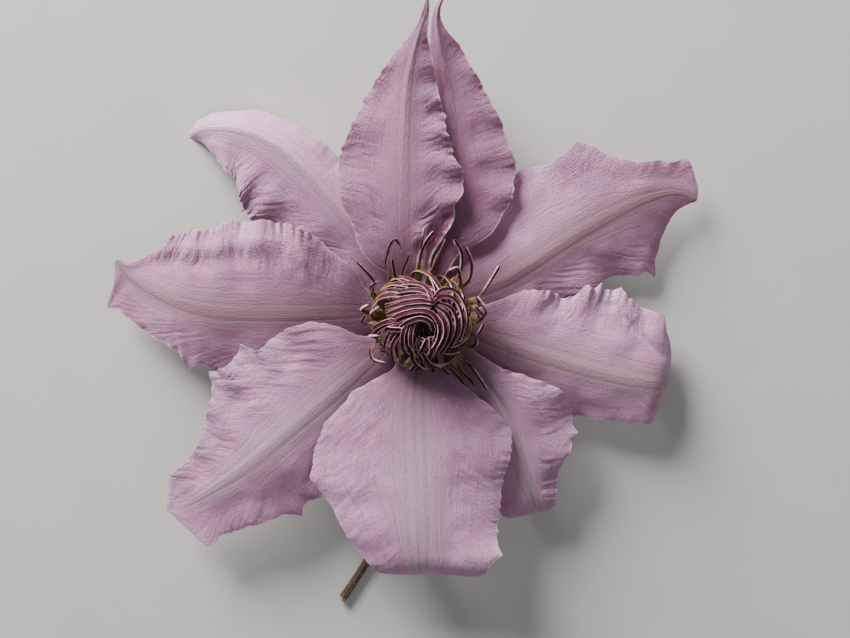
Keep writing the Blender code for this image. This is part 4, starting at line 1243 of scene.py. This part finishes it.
# %% Describe the outer stamens
OPEN_BELOW = 17.0  # a stamen that is rooted lower than this has opened
OUTER_STAMENS = (
    # where the anther begins, points from the root to the tip
    (0.62, ((-3.6, 1.6, 16.4), (-9.5, 3.5, 17.8), (-12.6, 6.5, 19.5), (-12.4, 11.0, 21.5),
            (-16.5, 16.6, 25.0))),
    (0.5, ((-2.4, 3.0, 16.4), (-6.8, 8.0, 18.6), (-8.8, 15.0, 22.0), (-6.6, 22.3, 25.6),
            (-3.8, 16.8, 23.0))),
    (0.6, ((-1.8, 3.4, 16.4), (-5.8, 8.0, 18.6), (-6.4, 11.5, 21.5), (-7.2, 17.3, 24.5))),
    (0.55, ((-1.2, 3.7, 16.4), (-3.6, 8.0, 18.8), (-4.4, 12.0, 21.5), (-2.4, 18.7, 25.0))),
    (0.58, ((-0.4, 3.9, 16.4), (-0.6, 9.0, 18.4), (-0.3, 14.5, 20.8), (1.2, 20.6, 23.4),
            (3.6, 24.6, 25.6))),
    (0.58, ((0.6, 3.9, 16.4), (2.2, 9.0, 18.6), (3.4, 14.2, 21.0), (4.7, 18.2, 23.4), (6.6, 22.8, 25.4))),
    (0.52, ((1.6, 3.6, 16.4), (6.5, 8.0, 18.6), (10.2, 12.6, 21.6), (10.8, 18.4, 24.0), (8.8, 22.4, 25.2))),
    (0.55, ((2.2, 3.2, 16.4), (8.5, 7.0, 18.6), (12.8, 10.6, 21.0), (13.6, 15.8, 23.4),
            (11.8, 20.6, 25.0))),
    (0.64, ((3.4, 1.9, 16.4), (9.5, 3.6, 17.8), (15.0, 5.4, 19.4), (18.4, 10.6, 21.6), (21.0, 15.4, 23.0))),
    (0.6, ((3.0, 2.6, 16.4), (8.6, 6.0, 19.6), (10.6, 10.0, 23.6), (9.9, 15.0, 26.4), (7.4, 14.6, 27.4))),
    (0.66, ((3.8, 0.8, 16.4), (10.5, 2.2, 18.2), (15.4, 3.4, 20.6), (15.0, 6.4, 22.4), (17.4, 3.6, 22.6))),
    (0.66, ((3.8, 0.2, 16.4), (11.0, 0.6, 18.4), (15.6, 0.6, 21.0), (14.4, 4.0, 23.4), (17.0, 1.4, 23.4))),
    (0.7, ((-3.8, 0.9, 16.4), (-9.5, 1.0, 18.4), (-12.6, 1.6, 21.2), (-15.4, 3.0, 22.2),
            (-13.6, 4.4, 22.6))),
    (0.7, ((-3.9, -0.6, 16.4), (-9.5, -1.4, 18.0), (-12.8, -1.6, 20.4), (-15.2, -0.4, 21.6),
            (-14.2, 1.6, 22.4))),
    (0.55, ((-3.4, -1.9, 16.4), (-8.6, -4.6, 18.0), (-12.8, -7.8, 19.4), (-12.6, -11.0, 19.6),
            (-9.2, -12.4, 19.0))),
    (0.3, ((4.6, 2.0, 27.5), (5.6, 0.6, 30.2), (4.2, -2.4, 29.6), (3.0, -6.4, 27.0), (3.0, -10.6, 23.4),
           (3.6, -14.4, 20.6))),
    (0.3, ((1.2, -2.6, 26.0), (1.6, -4.4, 28.6), (0.6, -7.4, 26.4), (-0.6, -10.6, 23.4),
            (-2.6, -13.8, 21.4))),
    (0.3, ((2.2, -3.4, 26.4), (2.6, -5.2, 28.4), (2.0, -8.6, 25.4), (0.2, -11.6, 22.6),
            (-1.2, -13.8, 20.8))),
    (0.3, ((-4.6, -1.6, 25.0), (-5.2, -3.0, 27.4), (-5.8, -5.4, 25.6), (-5.9, -8.8, 22.0),
            (-5.4, -11.0, 19.6))),
    (0.74, ((-3.5, 1.8, 16.4), (-8.0, 3.4, 17.2), (-11.2, 5.6, 19.2), (-12.9, 8.6, 21.6),
            (-11.0, 10.8, 23.8))),
    (0.72, ((-3.7, 0.4, 16.4), (-8.4, 0.4, 17.4), (-11.4, 0.0, 19.8), (-12.9, 2.0, 22.4),
            (-10.6, 4.6, 25.0))),
    (0.74, ((-3.8, -1.2, 16.4), (-8.4, -3.2, 17.2), (-11.6, -4.8, 19.2), (-13.2, -4.2, 21.8),
            (-10.4, -3.4, 24.2))),
    (0.78, ((-3.2, -2.2, 16.4), (-7.2, -6.0, 17.2), (-9.6, -8.4, 19.0), (-10.6, -8.0, 21.2),
            (-8.6, -7.0, 23.6))),
    (0.68, ((3.8, -0.6, 16.4), (9.6, -1.0, 17.4), (13.6, -1.2, 19.2), (15.6, -0.4, 21.0), (17.6, 2.2, 22.0),
            (16.2, 5.0, 23.2))),
    (0.74, ((3.6, -1.4, 16.4), (9.2, -3.4, 17.2), (12.8, -4.6, 18.6), (15.2, -4.0, 20.2),
            (16.8, -1.0, 21.2))),
    (0.78, ((3.2, -2.2, 16.4), (8.4, -5.8, 17.0), (12.2, -7.8, 18.0), (14.8, -7.4, 19.4),
            (15.2, -5.0, 21.0))),
    (0.76, ((2.6, -3.0, 16.4), (5.6, -8.6, 17.6), (9.0, -14.4, 18.0), (12.2, -19.2, 17.4))),
    (0.78, ((2.9, -2.6, 16.4), (7.0, -8.8, 17.8), (11.2, -14.6, 18.4), (14.6, -18.8, 18.0))),
    (0.72, ((3.2, -2.2, 16.4), (8.4, -8.6, 18.4), (13.8, -13.4, 18.8), (18.4, -20.6, 16.8))),
    (0.76, ((2.2, -3.2, 16.4), (4.4, -9.0, 17.2), (6.6, -14.6, 17.4), (9.4, -18.0, 16.8))),
)
print("outer stamens:", len(OUTER_STAMENS))

# %% [markdown]
# A stamen that has opened turns its anther on edge, so it shows from above as a thin dark line with
# one pale side. That is what slim stands for below.

# %% Sweep one stamen
STAMEN_STEPS = 26
FILAMENT_WIDTH = 1.9
FILAMENT_THICKNESS = 0.45
ANTHER_WIDTH = 1.32
ANTHER_THICKNESS = 0.7
BOSS_CENTRE = np.array([1.0, 0.2, 20.0])  # from the flower's axis, in mm
STAMEN_CELLS = 12  # in a row of the bake map


def add_stamen(bundle, points, anther_begins, slim=0.0):
    """Sweeps one stamen along its points, with its anther from that share of its length on."""
    number = bundle.used
    line = curve_through(points, STAMEN_STEPS)
    share = np.linspace(0, 1, len(line))
    anther = fade(share, anther_begins - 0.05, anther_begins + 0.03)
    sections = FILAMENT_SECTION * (1 - anther)[:, None, None] + ANTHER_SECTION * anther[:, None, None]
    tip = 0.35 + 0.65 * fade(share, 1.0, 0.955)
    neck = 1 - 0.25 * np.exp(-(((share - anther_begins + 0.02) / 0.03) ** 2))
    foot = 0.75 + 0.25 * fade(share, 0, 0.2)
    widths = (FILAMENT_WIDTH + (ANTHER_WIDTH - FILAMENT_WIDTH) * anther) * tip * neck * foot
    widths = widths * (1 - 0.35 * slim * fade(share, anther_begins - 0.3, anther_begins))
    thicknesses = (FILAMENT_THICKNESS + (ANTHER_THICKNESS - FILAMENT_THICKNESS) * anther) * tip
    outward = unit(line - FLOWER_AXIS - BOSS_CENTRE)
    sideways = unit(np.cross(np.gradient(line, axis=0), outward))
    way = 1 - 2 * (number % 2)
    on_edge = slim * way * fade(share, anther_begins - 0.2, anther_begins)
    facing = outward + sideways * on_edge[:, None]
    on_filament = (share - anther_begins) / max(anther_begins, 0.1)
    on_anther = (share - anther_begins) / (1 - anther_begins)
    from_anther = np.where(share < anther_begins, on_filament, on_anther)
    marks = (from_anther[:, None], sections[..., 0], number * 0.37 % 1)
    bundle.add(line, facing, widths, thicknesses, sections, marks, bake_cell(number, STAMEN_CELLS))


print("an anther is", ANTHER_WIDTH, "mm wide and", ANTHER_THICKNESS, "mm thick")

# %% Grow the boss
def leaned(degrees, radius, height, lean):
    """A place round the flower's axis, moved over by the lean for each millimetre above the foot."""
    place = compass(degrees, radius) + (0, 0, height)
    place[:2] += np.array(lean) * max(height - BOSS_FOOT, 0)
    return FLOWER_AXIS + place


def add_rings(bundle, rng):
    """The rings round the styles, which all sweep the same way round."""
    for count, swirl, anther_begins, profile in STAMEN_RINGS:
        for k in range(count):
            turn = 360 * (k + 0.3 * rng.uniform(-1, 1)) / count
            twist = swirl * rng.uniform(0.4, 1.5)
            reach = rng.uniform(0.95, 1.05)
            rise = rng.uniform(-0.5, 0.5)
            points = []
            for step, (radius, height) in enumerate(profile):
                share = step / (len(profile) - 1)
                out = radius * (1 + (reach - 1) * share)
                points.append(leaned(turn + twist * share**1.7, out, height + rise * share, BOSS_LEAN))
            add_stamen(bundle, points, anther_begins + rng.uniform(-0.04, 0.04))


def add_lying_anthers(bundle, rng):
    """The anthers over the top, each laid on the ball at its own height."""
    for places in LYING_ANTHERS:
        lift = rng.uniform(0.1, 0.9)
        points = []
        for step, place in enumerate(np.array(places)):
            away = np.linalg.norm(place - BALL_MIDDLE) / BALL_RADIUS
            height = BALL_TOP - BALL_RISE * (1 - np.sqrt(max(1 - away**2, 0))) + lift * min(step, 1)
            points.append(FLOWER_AXIS + (*place, height))
        add_stamen(bundle, points, NO_FILAMENT)


def add_outer_stamens(bundle):
    """The stamens placed point by point. Those that grow from the receptacle have opened."""
    for anther_begins, places in OUTER_STAMENS:
        slim = 1.0 if places[0][2] < OPEN_BELOW else 0.0
        add_stamen(bundle, FLOWER_AXIS + np.array(places), anther_begins, slim)


boss_rng = random.Random(11)
boss = Bundle()
add_rings(boss, boss_rng)
add_lying_anthers(boss, boss_rng)
add_outer_stamens(boss)
print("stamens:", boss.used)

# %% [markdown]
# The finish reads where a point lies on its stamen: before or after the anther's foot, and how far
# from the middle line. The filament is creamy green with a dark red blotch under the anther, the
# middle of the anther is maroon, and the two pollen sacs are a dusty pale pink.

# %% Finish and show the stamens
FILAMENT_CREAM = tint(160, 144, 104)
FILAMENT_GREEN = tint(130, 122, 78)
FILAMENT_SHADE = tint(104, 80, 66)
BLOTCH_RED = tint(92, 14, 32)
MAROON = tint(74, 18, 38)
DARK_MAROON = tint(38, 10, 24)
SAC_PALE = tint(222, 184, 184)
SAC_PINK = tint(172, 122, 132)


def stamen_finish():
    finish = Finish("maroon stamens")
    strand, along, across, own = finish.mark("strand")
    spread = abs(across)
    grain = finish.noise(strand, (14, 5, 31))
    filament = finish.mix(FILAMENT_CREAM, FILAMENT_GREEN, own)
    filament = finish.mix(filament, FILAMENT_SHADE, grain.over(0.45, 0.75) * 0.4)
    below_anther = (along + (grain - 0.5) * 0.3).over(-0.42, -0.15)
    blotch = below_anther * (spread + (grain - 0.5) * 0.5).under(1.0, 0.4)
    filament = finish.mix(filament, BLOTCH_RED, blotch * 0.92)
    sacs = finish.mix(SAC_PALE, SAC_PINK, grain.over(0.3, 0.7))
    anther = finish.mix(finish.mix(MAROON, DARK_MAROON, own), sacs, spread.over(0.76, 0.88))
    return finish.surface(
        finish.mix(filament, anther, along.over(-0.06, 0.04)),
        0.5 + grain * 0.2,
        finish.bump(grain * 0.08),
        Specular_IOR_Level=0.15,
        Subsurface_Weight=0.03,
        Subsurface_Scale=0.6 * MM,
    )


add_piece("boss_stamens", boss.mesh("stamens"), stamen_finish(), "stamens")

# %% [markdown]
# ## The styles
#
# In the hole of the boss stands a tuft of styles, one for each seed to come. They're thin, downy and
# green, twist together at the foot and part at the top.

# %% Grow the styles
STYLE_RINGS = ((1, 0.0), (6, 0.6), (12, 1.15), (15, 1.65))  # count and radius
STYLE_SPREAD = ((0, 0.9), (0.35, 1.0), (0.7, 1.1), (0.88, 1.45), (1, 1.9))  # share of height, of radius
STYLE_WIDTH = 0.7
STYLE_FOOT = 15.7
STYLE_TOP = 28.6
STYLE_LEAN = (0.14, 0.02)
STYLE_TWIST = 50  # degrees from the foot to the tip
STYLE_STEPS = 24
STYLE_CELLS = 6  # in a row of the bake map


def tuft_of_styles():
    rng = random.Random(5)
    bundle = Bundle()
    circle, section = round_section(8)
    for count, radius in STYLE_RINGS:
        for k in range(count):
            turn = 360 * k / count + rng.uniform(-6, 6)
            top = STYLE_TOP + rng.uniform(-0.9, 0.9) - 0.5 * radius
            points = []
            for share, spread in STYLE_SPREAD:
                height = STYLE_FOOT + (top - STYLE_FOOT) * share
                out = radius * spread + 0.3 * share**3
                points.append(leaned(turn + STYLE_TWIST * share, out, height, STYLE_LEAN))
            line = curve_through(points, STYLE_STEPS)
            share = np.linspace(0, 1, len(line))
            width = STYLE_WIDTH * (1 - 0.55 * share**3)
            sections = np.broadcast_to(section, (len(line), *section.shape))
            marks = (share[:, None], circle[None, :], bundle.used * 0.29 % 1)
            facing = np.broadcast_to(compass(turn), line.shape)
            bundle.add(line, facing, width, width, sections, marks, bake_cell(bundle.used, STYLE_CELLS))
    return bundle


styles = tuft_of_styles()
print("styles:", styles.used)

# %% Finish and show the styles
STYLE_GREEN = tint(150, 142, 96)
STYLE_TAN = tint(172, 144, 108)
STYLE_MAROON = tint(96, 56, 58)
STYLE_DOWN = tint(180, 172, 138)


def style_finish():
    finish = Finish("green styles")
    strand, along, _, own = finish.mark("strand")
    down = finish.noise(strand, (40, 3, 17))
    colour = finish.mix(STYLE_GREEN, STYLE_TAN, along.over(0.5, 1))
    colour = finish.mix(colour, STYLE_MAROON, own * 0.3)
    colour = finish.mix(colour, STYLE_DOWN, down.over(0.5, 0.75) * 0.5)
    return finish.surface(colour, 0.6 + down * 0.2, finish.bump(down * 0.1), Specular_IOR_Level=0.25)


add_piece("tuft_of_styles", styles.mesh("styles"), style_finish(), "styles")

# %% [markdown]
# ## The receptacle and the stalk
#
# The tepals, stamens and styles all grow from a small round receptacle, and the stalk grows from
# under it. A clematis stalk is wiry, ribbed and faintly hairy. It's swept like a strand, with ribs
# in its section, and lies on its underside where it touches the table.

# %% Sweep the stalk and the receptacle
STALK_HALF = 1.2
STALK_RIBS = 8
STALK_STEPS = 220
STALK_ROUTE = (
    (0.0, 0.0, 9.6),
    (0.0, 0.0, 8.0),
    (0.0, -1.6, 3.9),
    (-0.3, -5.6, STALK_HALF),
    (-1.2, -20.0, STALK_HALF),
    (-3.8, -40.0, STALK_HALF),
    (-7.8, -57.0, STALK_HALF),
    (-12.8, -71.5, STALK_HALF),
    (-22.8, -88.0, STALK_HALF),
)
STALK_PLACE = (0.0, 0.0, 0.98, 0.45)  # in the bake map
RECEPTACLE_TOP = 15.4
RECEPTACLE_PROFILE = ((0.9, 7.9), (1.6, 8.3), (2.5, 9.1), (3.4, 9.8), (RECEPTACLE_RADIUS, 10.6), (3.7, 12.4),
                      (RECEPTACLE_RADIUS, 14.2), (3.7, 15.0), (3.2, RECEPTACLE_TOP))
RECEPTACLE_PLACE = (0.0, 0.46, 0.98, 0.18)
STALK, RECEPTACLE, HAIR = 0, 1, 2  # kinds, as the finish reads them


def add_stalk(bundle, line):
    """The ribbed stalk, along its route."""
    circle, section = round_section(48)
    share = np.linspace(0, 1, len(line))
    ribs = 0.93 + 0.07 * np.cos(STALK_RIBS * circle[None, :] + 1.5 * share[:, None])
    knots = 1 + 0.05 * noise(share * 18, circle[:, None] * 0.4, 31).T
    sections = section[None] * (ribs * knots)[..., None]
    width = np.full(len(line), 2 * STALK_HALF)
    facing = np.broadcast_to((-1.0, 0.0, 0.0), line.shape)
    marks = (share[:, None] * 100, circle[None, :], STALK)
    bundle.add(line, facing, width, width, sections, marks, STALK_PLACE)


def add_receptacle(bundle):
    """The receptacle: a profile turned round the axis, with shallow dimples round its side."""
    circle, section = round_section(48)
    radius, height = np.array(RECEPTACLE_PROFILE).T
    axis = FLOWER_AXIS + height[:, None] * (0, 0, 1)
    dimples = 1 + 0.02 * np.cos(12 * circle)
    sections = np.broadcast_to(section * dimples[:, None], (len(axis), *section.shape))
    marks = (-height[:, None], circle[None, :], RECEPTACLE)
    facing = np.broadcast_to((1.0, 0.0, 0.0), axis.shape)
    bundle.add(axis, facing, 2 * radius, 2 * radius, sections, marks, RECEPTACLE_PLACE)


stalk_line = curve_through(FLOWER_AXIS + np.array(STALK_ROUTE), STALK_STEPS)
stalk = Bundle()
add_stalk(stalk, stalk_line)
add_receptacle(stalk)
print("the stalk ends", round(float(stalk_line[-1, 2]), 1), "mm above the table, at its middle")

# %% [markdown]
# The hairs are short, bent and few. Each is a three-sided strand that leans towards the stalk's cut
# end. Only the upper side and the flanks carry them, because the underside lies on the table.

# %% Add the stalk's hairs
HAIRS = 420
HAIR_WIDTHS = np.array([0.09, 0.075, 0.055, 0.02])
HAIR_SECTION = np.array([(1, 0), (-0.5, 0.87), (-0.5, -0.87)])
BARE_ROWS = 40  # of the stalk under the receptacle
LOWEST_HAIR = 0.05  # above the table


def hair_place(number):
    """A small cell for each hair in the bake map, above the receptacle's."""
    return number % 30 / 30, 0.66 + number // 30 / 45, 0.03, 0.018


def add_hairs(bundle, line):
    """Short hairs, scattered over the stalk."""
    rng = random.Random(23)
    for number in range(HAIRS):
        row = rng.randrange(BARE_ROWS, len(line) - 2)
        angle = rng.uniform(math.radians(-30), math.radians(210))
        side = unit(np.cross(line[row + 1] - line[row - 1], (0, 0, 1)))
        outward = math.cos(angle) * side + math.sin(angle) * np.array((0, 0, 1.0))
        lean = unit(line[row + 1] - line[row])
        root = line[row] + outward * STALK_HALF * 0.9
        reach = rng.uniform(0.35, 0.75)
        hair = curve_through([root, root + outward * reach * 0.6, root + (outward + 0.5 * lean) * reach], 3)
        hair[:, 2] = np.maximum(hair[:, 2], LOWEST_HAIR)
        sections = np.broadcast_to(HAIR_SECTION, (len(hair), *HAIR_SECTION.shape))
        marks = (100 * row / (len(line) - 1), angle, HAIR)
        facing = np.broadcast_to(lean + (0.01, 0.02, 0.03), hair.shape)
        bundle.add(hair, facing, HAIR_WIDTHS, HAIR_WIDTHS, sections, marks, hair_place(number))


add_hairs(stalk, stalk_line)
print("stalk, receptacle and", stalk.used - 2, "hairs")

# %% Finish and show the stalk
STALK_BROWN = tint(92, 78, 60)
STALK_MAROON = tint(74, 50, 46)
STALK_GREEN = tint(104, 100, 66)
RECEPTACLE_GREEN = tint(118, 118, 78)
HAIR_PALE = tint(172, 160, 138)
CUT_PALE = tint(150, 146, 108)


def stalk_finish():
    finish = Finish("brown green stalk")
    strand, along, _, kind = finish.mark("strand")
    streaks = finish.noise(strand, (0.25, 3, 0), 3.0, 0.6)
    patches = finish.noise(strand, (0.09, 0.6, 0))
    colour = finish.mix(STALK_BROWN, STALK_MAROON, patches.over(0.35, 0.65))
    colour = finish.mix(colour, STALK_GREEN, streaks.over(0.5, 0.75) * 0.6)
    colour = finish.mix(colour, RECEPTACLE_GREEN, kind.over(0, 1))
    colour = finish.mix(colour, HAIR_PALE, kind.over(1.2, 1.9))
    colour = finish.mix(colour, CUT_PALE, along.over(99.2, 99.8))
    return finish.surface(colour, 0.6, finish.bump(streaks * 0.12), Specular_IOR_Level=0.3)


add_piece("stalk_and_receptacle", stalk.mesh("stalk"), stalk_finish(), "stalk_with_receptacle")

# %% [markdown]
# ## Floor, light and camera
#
# The flower lies face up on a pale table. The key lamp is large and soft. It stands low, beyond the
# top tepals and a little to the left, so that its light rakes over the blades and brings out their
# relief. A weak lamp from the other side and a dim, pale sky fill the shadows. The camera looks down
# from above with a small lean, so that the boss shows a little of its side.

# %% Set the studio
FLOOR_HALF = 1.5  # m
FLOOR_PALE = tint(214, 212, 208)
FLOOR_GREY = tint(206, 204, 200)
LOOK_AT = Vector(FLOWER_AXIS * MM) + Vector((1.35, -1.39, 14.0)) * MM
LAMPS = (
    # name, place in m, diameter in m, power in W, colour
    ("key", (-0.5, 0.9, 0.36), 0.6, 41.0, (1.0, 0.985, 0.97)),
    ("fill", (0.5, -0.2, 0.8), 0.8, 0.9, (0.95, 0.97, 1.0)),
)
SKY_COLOUR = (0.94, 0.95, 1.0, 1)
SKY_STRENGTH = 0.18


def add_floor():
    corners = [(x * FLOOR_HALF, y * FLOOR_HALF, 0.0) for x, y in ((-1, -1), (1, -1), (1, 1), (-1, 1))]
    mesh = bpy.data.meshes.new("floor")
    mesh.from_pydata(corners, [], [(0, 1, 2, 3)])
    floor = show("floor", mesh)
    finish = Finish("pale floor")
    place = finish.node("ShaderNodeTexCoord", output="Object")
    mottle = finish.noise(place, (60, 60, 60), 3.0)
    colour = finish.mix(FLOOR_PALE, FLOOR_GREY, mottle)
    mesh.materials.append(finish.surface(colour, 0.7 + mottle * 0.1, finish.bump(mottle * 0.02)))
    floor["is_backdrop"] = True


def add_lamp(name, place, size, power, colour):
    """A round soft lamp that looks at the flower."""
    lamp = bpy.data.lights.new(name, "AREA")
    lamp.shape = "DISK"
    lamp.size = size
    lamp.energy = power
    lamp.color = colour
    stand = show(name, lamp)
    stand.location = place
    stand.rotation_euler = (LOOK_AT - stand.location).to_track_quat("-Z", "Y").to_euler()


def add_sky():
    world = bpy.data.worlds.new("pale sky")
    world.use_nodes = True
    background = world.node_tree.nodes["Background"]
    background.inputs["Color"].default_value = SKY_COLOUR
    background.inputs["Strength"].default_value = SKY_STRENGTH
    bpy.context.scene.world = world


add_floor()
for lamp_row in LAMPS:
    add_lamp(*lamp_row)
add_sky()
print("lamps:", [lamp_row[0] for lamp_row in LAMPS])

# %% Place the camera
CAMERA_REACH = 0.42  # m
CAMERA_LEAN = math.radians(13)
camera_data = bpy.data.cameras.new("camera")
camera_data.lens = 65.8  # mm
camera_data.sensor_width = 36.0
camera_data.clip_start = 0.01  # m
camera = show("camera", camera_data)
camera.location = LOOK_AT + Vector((0, math.sin(CAMERA_LEAN), math.cos(CAMERA_LEAN))) * CAMERA_REACH
camera.rotation_euler = (-CAMERA_LEAN, 0, 0)
bpy.context.scene.camera = camera
print("the camera stands", round(camera.location.z, 3), "m above the table")

# %% [markdown]
# ## Size, and the end
#
# The dressed flower fills the box of its solids, and a crinkled edge may stick out of it by about a
# hundredth of the width. Both boxes are written down, so that they can be compared.

# %% Write both boxes and finish
dressed_box = [list(corner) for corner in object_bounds()]
for axis, solid_low, solid_high, low, high in zip("xyz", *solid_box, *dressed_box):
    beyond = round((solid_low - low) / MM, 2), round((high - solid_high) / MM, 2)
    print(axis, "beyond the solids at the low and high side:", beyond, "mm")
